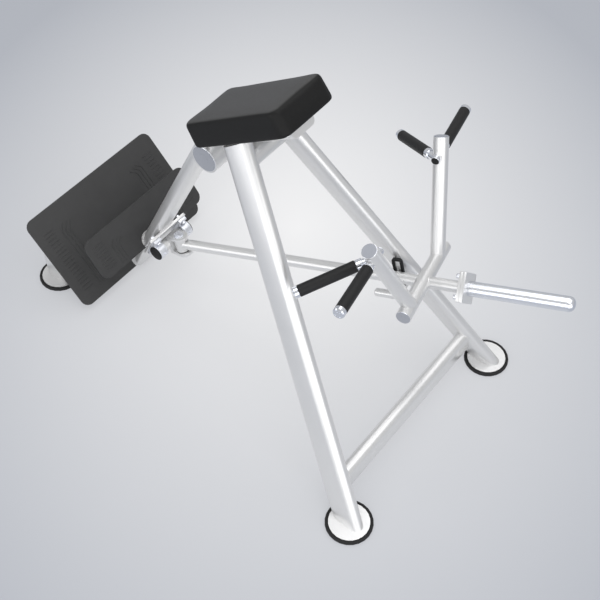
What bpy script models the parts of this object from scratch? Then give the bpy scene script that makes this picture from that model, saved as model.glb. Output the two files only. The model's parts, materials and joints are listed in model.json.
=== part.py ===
"""Incline row machine: a plate-loaded rowing lever under a sloping chest pad.

Metres, +Z up. +X runs from the foot plates to the weight horn and +Y is to the left of the
person on the pad. The world origin is the middle of the right front foot's underside.
"""
import math

import bmesh
import bpy
from mathutils import Matrix, Vector

# Spacing between pieces that touch, and the smoothness of round shapes
GAP = 0.0003
OVAL_STEPS = 8
ROUND_STEPS = 12
CORNER_STEPS = 5
SHARP_ANGLE = math.radians(32)
WELD_DISTANCE = 0.00005

# A-frame and base
FRONT_TRACK = 0.845
REAR_TRACK = 0.517
WHEELBASE = 1.518
APEX_BACK = 0.880
APEX_HEIGHT = 1.305
OVAL_WIDTH = 0.100
OVAL_DEPTH = 0.050
OVAL_WALL = 0.003
FRONT_CROSSBAR_HEIGHT = 0.114
UPPER_CROSSBAR_HEIGHT = 1.003
REAR_CROSSBAR_HEIGHT = 0.068
BASE_TUBE_HEIGHT = 0.040
POST_SETBACK = 0.005

# Feet
FOOT_RADIUS = 0.081
FOOT_RIM = 0.011
FOOT_RIM_HEIGHT = 0.014
FOOT_SOLE = 0.004
DISC_THICKNESS = 0.008
DRAIN_RADIUS = 0.008

# Column and head tube
COLUMN_MIDDLE = Vector((-1.1354, 0.0, 0.4031))
COLUMN_SLOPE = math.radians(63.94)
HEAD_TUBE_CENTRE = Vector((-0.869, 0.0, 0.861))
HEAD_TUBE_RADIUS = 0.052
HEAD_TUBE_HALF = 0.064
HEAD_TUBE_WALL = 0.004
VENT_RADIUS = 0.006

# Chest pad, its board, plate and rail
PAD_REAR = Vector((-0.8600, 0.0, 0.9452))
PAD_SLOPE = math.radians(34.29)
PAD_LENGTH = 0.446
PAD_WIDTH = 0.231
PAD_THICKNESS = 0.085
PAD_CORNER = 0.030
PAD_EDGE = 0.013
PAD_CROWN = 0.006
PAD_DRAW_IN = 0.008
BOARD_THICKNESS = 0.014
BOARD_INSET = 0.018
PAD_PLATE_THICKNESS = 0.004
PAD_PLATE_INSET = 0.017
RAIL_DEPTH = 0.036
RAIL_FRONT = 0.390

# Foot plates
LARGE_PLATE_TOP = Vector((-1.5696, 0.0, 0.3076))
LARGE_PLATE_SLOPE = math.radians(46.65)
LARGE_PLATE_LENGTH = 0.388
LARGE_PLATE_WIDTH = 0.650
SMALL_PLATE_TOP = Vector((-1.327, 0.0, 0.312))
SMALL_PLATE_SLOPE = math.radians(51.92)
SMALL_PLATE_LENGTH = 0.1615
SMALL_PLATE_WIDTH = 0.533
FOOT_PLATE_THICKNESS = 0.006
FOOT_PLATE_CORNER = 0.032
NOTCH_CLEARANCE = 0.008
BACKING_THICKNESS = 0.004
BACKING_WIDTH = 0.300
BACKING_MARGIN = 0.012
POST_FLANGE_THICKNESS = 0.006
POST_FLANGE_WIDTH = 0.100
POST_FLANGE_LENGTH = 0.147
POST_FLANGE_OFFSET = 0.022

# Lever pivot: pillow blocks on a plate across the column
SHAFT_CENTRE = Vector((-1.142, 0.0, 0.238))
SHAFT_RADIUS = 0.0125
PIVOT_PLATE_WIDTH = 0.184
PIVOT_PLATE_LENGTH = 0.104
PIVOT_PLATE_THICKNESS = 0.010
BLOCK_MIDDLE = 0.067
BLOCK_WIDTH = 0.034
BLOCK_LENGTH = 0.096
BLOCK_FOOT = 0.014
BLOCK_RADIUS = 0.0305
INSERT_RADIUS = 0.021
INSERT_WIDTH = 0.028
BEARING_CAP_RADIUS = 0.0285
BEARING_CAP_DEPTH = 0.006
BLOCK_BOLT_PITCH = 0.072
BLOCK_BOLT_RADIUS = 0.005
BLOCK_BOLT_HEAD = 0.0085
BLOCK_BOLT_HEAD_HEIGHT = 0.006
BLOCK_NUT_HEIGHT = 0.008

# Yoke and clevis bolt
PARKED_LIFT = math.radians(15.762)
PARKED_SWING = math.radians(12.525)
PIN_OFFSET = 0.054
YOKE_HUB_RADIUS = 0.021
HUB_PLAY = 0.001
YOKE_HALF_WIDTH = 0.026
YOKE_REAR = -0.036
EAR_RADIUS = 0.028
EAR_REACH = 0.008
EAR_THICKNESS = 0.012
WEB_FRONT = -0.027
WEB_DEPTH = 0.018
CLEVIS_BOLT_RADIUS = 0.010
CLEVIS_HEAD_RADIUS = 0.0165
CLEVIS_HEAD_HEIGHT = 0.008
CLEVIS_WASHER_RADIUS = 0.019
CLEVIS_WASHER_THICKNESS = 0.002
NUT_HEIGHT = 0.014

# Lever, boom, masts and grips
HUB_RADIUS = 0.024
HUB_HEIGHT = 0.049
BUSH_WALL = 0.003
THRUST_WASHER = 0.0025
LEVER_RADIUS = 0.020
LEVER_WALL = 0.004
LEVER_LENGTH = 1.099
BOOM_DISTANCE = 0.966
BOOM_RISE = 0.004
BOOM_RADIUS = 0.0255
BOOM_WALL = 0.0035
BOOM_HALF = 0.181
MAST_FOOT = 0.123
MAST_TOP = 0.291
MAST_HEIGHT = 0.369
TUBE_END_THICKNESS = 0.004
GRIP_CORE_RADIUS = 0.014
GRIP_RADIUS = 0.019
COLLAR_RADIUS = 0.0175
SIDE_COLLAR_LENGTH = 0.009
REAR_COLLAR_LENGTH = 0.022
GRIP_END_LENGTH = 0.016
SIDE_BAR_FORE = 0.962
SIDE_BAR_HEIGHT = 0.3205
SIDE_BAR_INNER = 0.227
SIDE_BAR_OUTER = 0.518
SIDE_BAR_TILT = math.radians(1.8)
SIDE_GRIP_START = 0.316
REAR_BAR_START = Vector((0.957, 0.251, 0.313))
REAR_BAR_REACH = Vector((-0.2037, 0.164, -0.038))
REAR_GRIP_START = 0.062

# Flange and weight horn
FLANGE_SIDE = 0.100
FLANGE_THICKNESS = 0.011
FLANGE_BOLT_CIRCLE = 0.048
FLANGE_BOLT_RADIUS = 0.005
FLANGE_BOLT_HEAD = 0.008
FLANGE_BOLT_HEAD_HEIGHT = 0.013
HORN_RADIUS = 0.025
HORN_LENGTH = 0.345
HORN_CHAMFER = 0.010

# Catch that the parked lever rests in
CATCH_PLACE = 0.862
CATCH_WIDTH = 0.019
CATCH_PLATE = 0.005
CATCH_PRONG = 0.033
CATCH_PRONG_TOP = 0.0435
CATCH_FLOOR = 0.0285
CATCH_NEAR_END = 0.012
CATCH_RUBBER_TOP = 0.054
CATCH_RUBBER_FACE = 0.028
CATCH_RUBBER_SIDE = 0.009
CATCH_RUBBER_TAIL = 0.8425
CATCH_RUBBER_NOSE = 0.897
CATCH_RUBBER_CORNER = 0.012
CATCH_PAD_NEAR = 0.022
CATCH_PAD_EASE = 0.0015
PEG_RADIUS = 0.015
PEG_DROP = 0.084
PEG_END = 0.774

HALF_TURN = math.pi
QUARTER_TURN = math.pi / 2
SIDES = (("right", -1), ("left", 1))

# Directions and heights that follow from the sizes above
DISC_LIFT = Matrix.Translation((0, 0, FOOT_SOLE + GAP))
DISC_TOP = FOOT_SOLE + GAP + DISC_THICKNESS
PAD_ALONG = Vector((math.cos(PAD_SLOPE), 0, math.sin(PAD_SLOPE)))
PAD_NORMAL = Vector((-math.sin(PAD_SLOPE), 0, math.cos(PAD_SLOPE)))
COLUMN_ALONG = Vector((math.cos(COLUMN_SLOPE), 0, math.sin(COLUMN_SLOPE)))
COLUMN_FRONT = Vector((math.sin(COLUMN_SLOPE), 0, -math.cos(COLUMN_SLOPE)))
PLATE_UNDERSIDE = -(GAP + PAD_PLATE_THICKNESS)
RAIL_TOP = PLATE_UNDERSIDE - GAP
RAIL_REAR = (HEAD_TUBE_CENTRE - PAD_REAR).dot(PAD_ALONG)
LEVER_FRAME = (
    Matrix.Translation(SHAFT_CENTRE)
    @ Matrix.Rotation(-PARKED_LIFT, 4, "Y")
    @ Matrix.Translation((PIN_OFFSET, 0, 0))
    @ Matrix.Rotation(PARKED_SWING, 4, "Z")
)


def clear_scene():
    for obj in list(bpy.data.objects):
        bpy.data.objects.remove(obj, do_unlink=True)


def new_collection(name):
    collection = bpy.data.collections.new(name)
    bpy.context.scene.collection.children.link(collection)
    return collection


clear_scene()
PARTS = new_collection("incline_row_machine")
CUTTERS = new_collection("cutters")


def make_material(name, colour, roughness, metallic):
    material = bpy.data.materials.new(name)
    material.use_nodes = True
    shader = material.node_tree.nodes["Principled BSDF"]
    shader.inputs["Base Color"].default_value = (*colour, 1)
    shader.inputs["Roughness"].default_value = roughness
    shader.inputs["Metallic"].default_value = metallic
    return material


def silver_paint(name):
    return make_material(name, (0.72, 0.72, 0.71), 0.35, 0.6)


def zinc_steel(name):
    return make_material(name, (0.66, 0.68, 0.72), 0.25, 1.0)


def polished_steel(name):
    return make_material(name, (0.78, 0.79, 0.84), 0.12, 1.0)


def black_rubber(name):
    return make_material(name, (0.020, 0.020, 0.021), 0.75, 0.0)


def plate_rubber(name):
    return make_material(name, (0.045, 0.045, 0.045), 0.70, 0.0)


def black_leather(name):
    return make_material(name, (0.030, 0.030, 0.030), 0.50, 0.0)


def plywood(name):
    return make_material(name, (0.45, 0.31, 0.17), 0.70, 0.0)


def black_nylon(name):
    return make_material(name, (0.025, 0.025, 0.026), 0.45, 0.0)


# Placing and shaping tools


def new_empty(name, location, parent=None):
    empty = bpy.data.objects.new(name, None)
    PARTS.objects.link(empty)
    empty.location = location
    empty.parent = parent
    return empty


def axes_matrix(origin, along, across):
    """A frame whose Z runs along one direction and whose X leans towards the other."""
    z = Vector(along).normalized()
    x = (Vector(across) - Vector(across).dot(z) * z).normalized()
    y = z.cross(x)
    matrix = Matrix((x, y, z)).transposed().to_4x4()
    matrix.translation = Vector(origin)
    return matrix


def move_to(obj, collection):
    for owner in list(obj.users_collection):
        owner.objects.unlink(obj)
    collection.objects.link(obj)


def shade(obj):
    obj.data.shade_smooth()
    obj.data.set_sharp_from_angle(angle=SHARP_ANGLE)


def finish(obj, name, material, parent, matrix=None):
    """Name a solid, give it its material and hang it under its parent."""
    obj.name = name
    obj.data.name = name
    obj.data.materials.clear()
    obj.data.materials.append(material(name))
    obj.parent = parent
    if matrix is not None:
        obj.matrix_basis = matrix
    shade(obj)
    return obj


def as_cutter(obj, parent, matrix=None):
    obj.parent = parent
    if matrix is not None:
        obj.matrix_basis = matrix
    move_to(obj, CUTTERS)
    obj.hide_render = True
    obj.display_type = "WIRE"
    return obj


def boolean(obj, other, operation):
    modifier = obj.modifiers.new(operation.lower(), "BOOLEAN")
    modifier.operation = operation
    modifier.solver = "EXACT"
    modifier.object = other
    return obj


def cut(obj, cutter):
    return boolean(obj, cutter, "DIFFERENCE")


def join(obj, other):
    return boolean(obj, other, "UNION")


def bevel(obj, width, segments=2, angle=35):
    modifier = obj.modifiers.new("bevel", "BEVEL")
    modifier.width = width
    modifier.segments = segments
    modifier.limit_method = "ANGLE"
    modifier.angle_limit = math.radians(angle)
    return obj


def mesh_object(name, bm):
    mesh = bpy.data.meshes.new(name)
    bm.to_mesh(mesh)
    bm.free()
    obj = bpy.data.objects.new(name, mesh)
    PARTS.objects.link(obj)
    return obj


def arc(centre, radius, start, end, steps):
    """Points on an arc, its angles in degrees."""
    points = []
    for i in range(steps + 1):
        angle = math.radians(start + (end - start) * i / steps)
        points.append((centre[0] + radius * math.cos(angle), centre[1] + radius * math.sin(angle)))
    return points


def oval(width, depth):
    """Outline of a flat-oval section with its width along X, or of a round one."""
    flat = (width - depth) / 2
    if flat <= 0:
        return arc((0, 0), depth / 2, 0, 360 - 180 / ROUND_STEPS, 2 * ROUND_STEPS - 1)
    return arc((flat, 0), depth / 2, -90, 90, OVAL_STEPS) + arc((-flat, 0), depth / 2, 90, 270, OVAL_STEPS)


def rounded_rectangle(width, height, radius, steps=CORNER_STEPS):
    x = width / 2 - radius
    y = height / 2 - radius
    return (
        arc((x, y), radius, 0, 90, steps)
        + arc((-x, y), radius, 90, 180, steps)
        + arc((-x, -y), radius, 180, 270, steps)
        + arc((x, -y), radius, 270, 360, steps)
    )


def outline_solid(loops, thickness):
    """A flat outline, with any holes in it, as a solid centred on Z = 0."""
    curve = bpy.data.curves.new("outline", "CURVE")
    curve.dimensions = "2D"
    curve.fill_mode = "BOTH"
    curve.extrude = thickness / 2
    for loop in loops:
        spline = curve.splines.new("POLY")
        spline.points.add(len(loop) - 1)
        for point, place in zip(spline.points, loop):
            point.co = (*place, 0, 1)
        spline.use_cyclic_u = True
    source = bpy.data.objects.new("outline", curve)
    PARTS.objects.link(source)
    bpy.context.view_layer.update()
    evaluated = source.evaluated_get(bpy.context.evaluated_depsgraph_get())
    mesh = bpy.data.meshes.new_from_object(evaluated)
    bm = bmesh.new()
    bm.from_mesh(mesh)
    bmesh.ops.remove_doubles(bm, verts=bm.verts, dist=WELD_DISTANCE)
    bmesh.ops.recalc_face_normals(bm, faces=bm.faces)
    bm.to_mesh(mesh)
    bm.free()
    obj = bpy.data.objects.new("solid", mesh)
    PARTS.objects.link(obj)
    obj.matrix_world = source.matrix_world
    bpy.data.objects.remove(source, do_unlink=True)
    bpy.data.curves.remove(curve)
    return obj


def box(size):
    bm = bmesh.new()
    bmesh.ops.create_cube(bm, size=1)
    bmesh.ops.scale(bm, vec=Vector(size), verts=bm.verts)
    return mesh_object("box", bm)


def cylinder(radius, length, sides=2 * ROUND_STEPS):
    """A cylinder along Z from 0 to its length."""
    bm = bmesh.new()
    place = Matrix.Translation((0, 0, length / 2))
    bmesh.ops.create_cone(
        bm, cap_ends=True, segments=sides, radius1=radius, radius2=radius, depth=length, matrix=place
    )
    return mesh_object("cylinder", bm)


def turn(obj):
    screw = obj.modifiers.new("turn", "SCREW")
    screw.angle = 2 * HALF_TURN
    screw.steps = 2 * ROUND_STEPS
    screw.render_steps = 2 * ROUND_STEPS
    screw.use_merge_vertices = True
    screw.merge_threshold = WELD_DISTANCE
    screw.use_smooth_shade = True
    return obj


def turned(profile):
    """A solid turned about Z from (radius, height) points that run from its top to its bottom."""
    mesh = bpy.data.meshes.new("turned")
    points = [(radius, 0, height) for radius, height in profile]
    mesh.from_pydata(points, [(i, i + 1) for i in range(len(points) - 1)], [])
    obj = bpy.data.objects.new("turned", mesh)
    PARTS.objects.link(obj)
    return turn(obj)


def turned_loop(points):
    """A turned ring from a closed loop of (radius, height) points that runs down its outer side."""
    mesh = bpy.data.meshes.new("ring")
    count = len(points)
    mesh.from_pydata([(radius, 0, height) for radius, height in points],
                     [(i, (i + 1) % count) for i in range(count)], [])
    obj = bpy.data.objects.new("ring", mesh)
    PARTS.objects.link(obj)
    return turn(obj)


def turned_ring(inner, outer, bottom, top, edge=0.0):
    """A turned ring with a bore, its outer edges eased if an edge is given."""
    if edge == 0:
        return turned_loop([(inner, top), (outer, top), (outer, bottom), (inner, bottom)])
    return turned_loop([
        (inner, top),
        (outer - edge, top),
        (outer, top - edge),
        (outer, bottom + edge),
        (outer - edge, bottom),
        (inner, bottom),
    ])


def applied(obj):
    """The solid with its modifiers and its placing applied, as a new object at the origin."""
    bpy.context.view_layer.update()
    mesh = bpy.data.meshes.new_from_object(obj.evaluated_get(bpy.context.evaluated_depsgraph_get()))
    mesh.transform(obj.matrix_basis)
    bpy.data.objects.remove(obj, do_unlink=True)
    solid = bpy.data.objects.new("solid", mesh)
    PARTS.objects.link(solid)
    return solid


def fuse(first, others):
    """Overlapping solids as one body."""
    for other in others:
        join(first, other)
    body = applied(first)
    for other in others:
        bpy.data.objects.remove(other, do_unlink=True)
    return body


class Bar:
    """A straight oval or round tube between two points of its parent's frame."""

    def __init__(self, start, end, across, width, depth, wall):
        self.start = Vector(start)
        self.end = Vector(end)
        self.width = width
        self.depth = depth
        self.wall = wall
        middle = (self.start + self.end) / 2
        self.length = (self.end - self.start).length
        self.matrix = axes_matrix(middle, self.end - self.start, across)

    def tube(self):
        return outline_solid([oval(self.width, self.depth), self.bore()], self.length)

    def bore(self):
        return oval(self.width - 2 * self.wall, self.depth - 2 * self.wall)

    def closed_tube(self, parent, both=False):
        """The tube with its far end closed, or both its ends."""
        solid = outline_solid([oval(self.width, self.depth)], self.length)
        high = self.length / 2 - TUBE_END_THICKNESS
        low = -high if both else -self.length / 2 - TUBE_END_THICKNESS
        hollow = outline_solid([self.bore()], high - low)
        return cut(solid, as_cutter(hollow, parent, self.matrix @ Matrix.Translation((0, 0, (high + low) / 2))))

    def envelope(self, parent, clearance=GAP, extra=0.0):
        """The bar's outer shape, filled and grown by a clearance, as a cutter."""
        grown = oval(self.width + 2 * clearance, self.depth + 2 * clearance)
        return as_cutter(outline_solid([grown], self.length + 2 * extra), parent, self.matrix)


def plane_cutter(parent, point, normal, size=0.6):
    """A large box that takes away everything on the normal's side of a plane."""
    block = box((size, size, size))
    place = axes_matrix(Vector(point) + Vector(normal).normalized() * size / 2, normal, (0, 1, 0))
    return as_cutter(block, parent, place)


def pad_point(along, across=0.0, up=0.0):
    """A point from the distance up the pad's slope, to the side, and above its underside."""
    return PAD_REAR + PAD_ALONG * along + Vector((0, across, 0)) + PAD_NORMAL * up


def pad_matrix(along, across=0.0, up=0.0):
    return axes_matrix(pad_point(along, across, up), PAD_NORMAL, PAD_ALONG)


def leg_bar(side):
    foot = Vector((0, side * FRONT_TRACK / 2, 0))
    apex = Vector((-APEX_BACK, 0, APEX_HEIGHT))
    below = foot - (apex - foot) * 0.08
    return Bar(below, apex, (1, 0, 0), OVAL_WIDTH, OVAL_DEPTH, OVAL_WALL)


def leg_axis(height):
    """Back and half-spread of the front legs' axes at a height."""
    share = height / APEX_HEIGHT
    return -APEX_BACK * share, FRONT_TRACK / 2 * (1 - share)


def crossbar_between_legs(height, across):
    back, spread = leg_axis(height)
    return Bar((back, -spread, height), (back, spread, height), across, OVAL_WIDTH, OVAL_DEPTH, OVAL_WALL)


# The bars whose outer shapes cut their neighbours
LEGS = {side: leg_bar(side) for _, side in SIDES}
FRONT_CROSSBAR = crossbar_between_legs(FRONT_CROSSBAR_HEIGHT, (0, 0, 1))
UPPER_CROSSBAR = crossbar_between_legs(UPPER_CROSSBAR_HEIGHT, (1, 0, 0))
RAIL = Bar(
    pad_point(RAIL_REAR, 0, RAIL_TOP - RAIL_DEPTH / 2),
    pad_point(RAIL_FRONT, 0, RAIL_TOP - RAIL_DEPTH / 2),
    (0, 1, 0), OVAL_WIDTH, RAIL_DEPTH, OVAL_WALL,
)
HEAD_TUBE = Bar(
    HEAD_TUBE_CENTRE - Vector((0, HEAD_TUBE_HALF, 0)),
    HEAD_TUBE_CENTRE + Vector((0, HEAD_TUBE_HALF, 0)),
    (1, 0, 0), 2 * HEAD_TUBE_RADIUS, 2 * HEAD_TUBE_RADIUS, HEAD_TUBE_WALL,
)
BASE_UNDERSIDE = BASE_TUBE_HEIGHT - OVAL_DEPTH / 2


def column_point(height):
    return COLUMN_MIDDLE + COLUMN_ALONG * (height - COLUMN_MIDDLE.z) / COLUMN_ALONG.z


COLUMN_TOP = column_point(COLUMN_MIDDLE.z) + COLUMN_ALONG * (HEAD_TUBE_CENTRE - COLUMN_MIDDLE).dot(COLUMN_ALONG)
COLUMN = Bar(column_point(0), COLUMN_TOP, (0, 1, 0), OVAL_WIDTH, OVAL_DEPTH, OVAL_WALL)
POST_BACK = -WHEELBASE - POST_SETBACK
REAR_CROSSBAR = Bar(
    (POST_BACK, -REAR_TRACK / 2, REAR_CROSSBAR_HEIGHT),
    (POST_BACK, REAR_TRACK / 2, REAR_CROSSBAR_HEIGHT),
    (0, 0, 1), OVAL_WIDTH, OVAL_DEPTH, OVAL_WALL,
)
BASE_TUBE = Bar(
    (POST_BACK, 0, BASE_TUBE_HEIGHT), column_point(BASE_TUBE_HEIGHT),
    (0, 1, 0), OVAL_WIDTH, OVAL_DEPTH, OVAL_WALL,
)


def slope_frame(top, slope, down, lift=0.0):
    """Frame on a foot plate: X up its slope, Y to the left, Z out of its face, down from the top edge."""
    along = Vector((-math.cos(slope), 0, math.sin(slope)))
    normal = Vector((math.sin(slope), 0, math.cos(slope)))
    return axes_matrix(top - along * down + normal * lift, normal, along)


# A-frame


def build_legs(machine):
    floor = plane_cutter(machine, (0, 0, DISC_TOP - DISC_THICKNESS / 2), (0, 0, -1), 2.5)
    pad_cut = plane_cutter(machine, pad_point(PAD_LENGTH / 2, 0, RAIL_TOP), PAD_NORMAL, 1.2)
    for name, side in SIDES:
        bar = LEGS[side]
        leg = finish(bar.tube(), "leg_" + name, silver_paint, machine, bar.matrix)
        cut(leg, floor)
        cut(leg, pad_cut)
        join(leg, foot_disc(machine, "front_" + name))


def build_crossbars(machine):
    front = finish(FRONT_CROSSBAR.tube(), "front_crossbar", silver_paint, machine, FRONT_CROSSBAR.matrix)
    upper = finish(UPPER_CROSSBAR.tube(), "upper_crossbar", silver_paint, machine, UPPER_CROSSBAR.matrix)
    for side in LEGS:
        envelope = LEGS[side].envelope(machine)
        cut(front, envelope)
        cut(upper, envelope)
    cut(upper, RAIL.envelope(machine, GAP, OVAL_WIDTH))


def foot_places():
    half_front = FRONT_TRACK / 2
    half_rear = REAR_TRACK / 2
    return {
        "front_right": (0, -half_front, 0),
        "front_left": (0, half_front, 0),
        "rear_right": (-WHEELBASE, -half_rear, 0),
        "rear_left": (-WHEELBASE, half_rear, 0),
    }


def foot_cup():
    """A rubber cup: a flat sole with a rounded rim round the disc's pocket."""
    rim_radius = FOOT_RIM / 2
    pocket = FOOT_RADIUS - FOOT_RIM
    middle = FOOT_RADIUS - rim_radius
    profile = [(0, FOOT_SOLE), (pocket, FOOT_SOLE)]
    profile += arc((middle, FOOT_RIM_HEIGHT - rim_radius), rim_radius, 180, 0, CORNER_STEPS)
    profile += [(FOOT_RADIUS, 0.002), (FOOT_RADIUS - 0.002, 0), (0, 0)]
    return turned(profile)


def foot_disc(machine, name):
    """The round plate welded under a leg or a post, as a shape to join to it."""
    disc = cylinder(FOOT_RADIUS - FOOT_RIM - GAP, DISC_THICKNESS)
    return as_cutter(disc, machine, Matrix.Translation(foot_places()[name]) @ DISC_LIFT)


def build_feet(machine):
    for name, place in foot_places().items():
        finish(foot_cup(), "foot_" + name, black_rubber, machine, Matrix.Translation(place))


# Column, head tube and pad


def build_head_tube(machine):
    tube = HEAD_TUBE.closed_tube(machine, both=True)
    finish(tube, "head_tube", silver_paint, machine, HEAD_TUBE.matrix)
    vent = axes_matrix(HEAD_TUBE_CENTRE, -COLUMN_ALONG, (0, 1, 0))
    cut(tube, round_hole(machine, vent, VENT_RADIUS, 2 * HEAD_TUBE_RADIUS))


def build_column(machine):
    column = finish(COLUMN.tube(), "column", silver_paint, machine, COLUMN.matrix)
    cut(column, plane_cutter(machine, (0, 0, BASE_UNDERSIDE), (0, 0, -1), 4.0))
    cut(column, HEAD_TUBE.envelope(machine, GAP, OVAL_WIDTH))


def build_rail(machine):
    rail = finish(RAIL.closed_tube(machine), "pad_rail", silver_paint, machine, RAIL.matrix)
    cut(rail, HEAD_TUBE.envelope(machine, GAP, OVAL_WIDTH))


def round_hole(parent, matrix, radius, length):
    return as_cutter(cylinder(radius, length, 12), parent, matrix)


def build_pad_plate(machine):
    length = PAD_LENGTH - 2 * PAD_PLATE_INSET
    width = PAD_WIDTH - 2 * PAD_PLATE_INSET
    corner = PAD_CORNER - PAD_PLATE_INSET
    plate = outline_solid([rounded_rectangle(length, width, corner)], PAD_PLATE_THICKNESS)
    place = pad_matrix(PAD_LENGTH / 2, 0, -GAP - PAD_PLATE_THICKNESS / 2)
    finish(plate, "pad_plate", silver_paint, machine, place)
    board_size = (PAD_LENGTH - 2 * BOARD_INSET, PAD_WIDTH - 2 * BOARD_INSET, PAD_CORNER - BOARD_INSET)
    board = outline_solid([rounded_rectangle(*board_size)], BOARD_THICKNESS)
    finish(board, "pad_board", plywood, machine, pad_matrix(PAD_LENGTH / 2, 0, BOARD_THICKNESS / 2))


def build_chest_pad(machine):
    """A crowned cushion from a coarse cage, its sides drawn in towards the board."""
    cage = bmesh.new()
    bmesh.ops.create_cube(cage, size=1, matrix=Matrix.Diagonal((PAD_LENGTH, PAD_WIDTH, PAD_THICKNESS, 1)))
    bmesh.ops.translate(cage, vec=(0, 0, PAD_THICKNESS / 2), verts=cage.verts)
    loops = (
        ((PAD_LENGTH / 2 - PAD_CORNER, 0, 0), (1, 0, 0)),
        ((PAD_CORNER - PAD_LENGTH / 2, 0, 0), (1, 0, 0)),
        ((0, PAD_WIDTH / 2 - PAD_CORNER, 0), (0, 1, 0)),
        ((0, PAD_CORNER - PAD_WIDTH / 2, 0), (0, 1, 0)),
        ((0, 0, PAD_EDGE), (0, 0, 1)),
        ((0, 0, PAD_THICKNESS - PAD_EDGE), (0, 0, 1)),
    )
    for point, normal in loops:
        everything = cage.verts[:] + cage.edges[:] + cage.faces[:]
        bmesh.ops.bisect_plane(cage, geom=everything, plane_co=point, plane_no=normal)
    for vert in cage.verts:
        inside = abs(vert.co.x) < PAD_LENGTH / 2 - PAD_EDGE and abs(vert.co.y) < PAD_WIDTH / 2 - PAD_EDGE
        if inside and vert.co.z > PAD_THICKNESS / 2:
            vert.co.z += PAD_CROWN
        if vert.co.z < PAD_THICKNESS / 2:
            share = PAD_DRAW_IN * (1 - vert.co.z / PAD_THICKNESS)
            vert.co.x -= math.copysign(share, vert.co.x)
            vert.co.y -= math.copysign(share, vert.co.y)
    pad = finish(mesh_object("chest_pad", cage), "chest_pad", black_leather, machine, pad_matrix(PAD_LENGTH / 2))
    rounding = pad.modifiers.new("rounding", "SUBSURF")
    rounding.levels = 2
    rounding.render_levels = 2
    grown = (PAD_LENGTH - 2 * BOARD_INSET + 2 * GAP, PAD_WIDTH - 2 * BOARD_INSET + 2 * GAP,
             PAD_CORNER - BOARD_INSET + GAP)
    pocket = outline_solid([rounded_rectangle(*grown)], 2 * (BOARD_THICKNESS + GAP))
    cut(pad, as_cutter(pocket, machine, pad_matrix(PAD_LENGTH / 2)))


# Base and foot plates


def build_base(machine):
    crossbar = finish(REAR_CROSSBAR.tube(), "rear_crossbar", silver_paint, machine, REAR_CROSSBAR.matrix)
    base = finish(BASE_TUBE.tube(), "base_tube", silver_paint, machine, BASE_TUBE.matrix)
    cut(base, REAR_CROSSBAR.envelope(machine))
    cut(base, COLUMN.envelope(machine))
    underside = slope_frame(LARGE_PLATE_TOP, LARGE_PLATE_SLOPE, 0, -FOOT_PLATE_THICKNESS - GAP)
    flange_under = underside @ Matrix.Translation((0, 0, -POST_FLANGE_THICKNESS))
    for name, side in SIDES:
        across = side * REAR_TRACK / 2
        bar = Bar((POST_BACK, across, DISC_TOP - DISC_THICKNESS / 2), (POST_BACK, across, LARGE_PLATE_TOP.z + 0.05),
                  (1, 0, 0), OVAL_WIDTH, OVAL_DEPTH, OVAL_WALL)
        post = finish(bar.tube(), "rear_post_" + name, silver_paint, machine, bar.matrix)
        normal = underside.to_3x3() @ Vector((0, 0, 1))
        trim = flange_under @ Vector((0, 0, 0.001))
        cut(post, plane_cutter(machine, trim, normal, 1.0))
        flange = outline_solid([rounded_rectangle(POST_FLANGE_LENGTH, POST_FLANGE_WIDTH, 0.012)],
                               POST_FLANGE_THICKNESS)
        place = plate_frame("large", post_flange_down(), side * (REAR_TRACK / 2 - POST_FLANGE_OFFSET),
                            -FOOT_PLATE_THICKNESS - GAP - POST_FLANGE_THICKNESS / 2)
        join(post, as_cutter(flange, machine, place))
        join(post, foot_disc(machine, "rear_" + name))
        cut(post, round_hole(machine, Matrix.Translation(foot_places()["rear_" + name]), DRAIN_RADIUS,
                             2 * DISC_TOP))
        cut(crossbar, bar.envelope(machine))


def post_flange_down():
    """Distance down the large plate's face to the middle of a rear post's flange."""
    back = (POST_BACK - LARGE_PLATE_TOP.x) / math.cos(LARGE_PLATE_SLOPE)
    return back + FOOT_PLATE_THICKNESS * math.tan(LARGE_PLATE_SLOPE)


def plate_frame(plate, down, across, lift=0.0):
    top, slope = {
        "large": (LARGE_PLATE_TOP, LARGE_PLATE_SLOPE),
        "small": (SMALL_PLATE_TOP, SMALL_PLATE_SLOPE),
    }[plate]
    place = slope_frame(top, slope, down, lift)
    place.translation.y = across
    return place


def foot_plate(name, machine, plate, width, length):
    solid = outline_solid([rounded_rectangle(length, width, FOOT_PLATE_CORNER)], FOOT_PLATE_THICKNESS)
    place = plate_frame(plate, length / 2, 0, -FOOT_PLATE_THICKNESS / 2)
    return finish(solid, name, plate_rubber, machine, place)


def build_foot_plates(machine):
    large = foot_plate("foot_plate_large", machine, "large", LARGE_PLATE_WIDTH, LARGE_PLATE_LENGTH)
    small = foot_plate("foot_plate_small", machine, "small", SMALL_PLATE_WIDTH, SMALL_PLATE_LENGTH)
    around_column = COLUMN.envelope(machine, NOTCH_CLEARANCE, OVAL_WIDTH)
    cut(large, BASE_TUBE.envelope(machine, NOTCH_CLEARANCE))
    cut(large, around_column)
    cut(small, around_column)
    length = SMALL_PLATE_LENGTH - 2 * BACKING_MARGIN
    backing = outline_solid([rounded_rectangle(length, BACKING_WIDTH, 0.015)], BACKING_THICKNESS)
    lift = -FOOT_PLATE_THICKNESS - GAP - BACKING_THICKNESS / 2
    place = plate_frame("small", SMALL_PLATE_LENGTH / 2, 0, lift)
    finish(backing, "step_bracket", silver_paint, machine, place)
    cut(backing, COLUMN.envelope(machine, GAP, OVAL_WIDTH))


# Pivot


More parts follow.
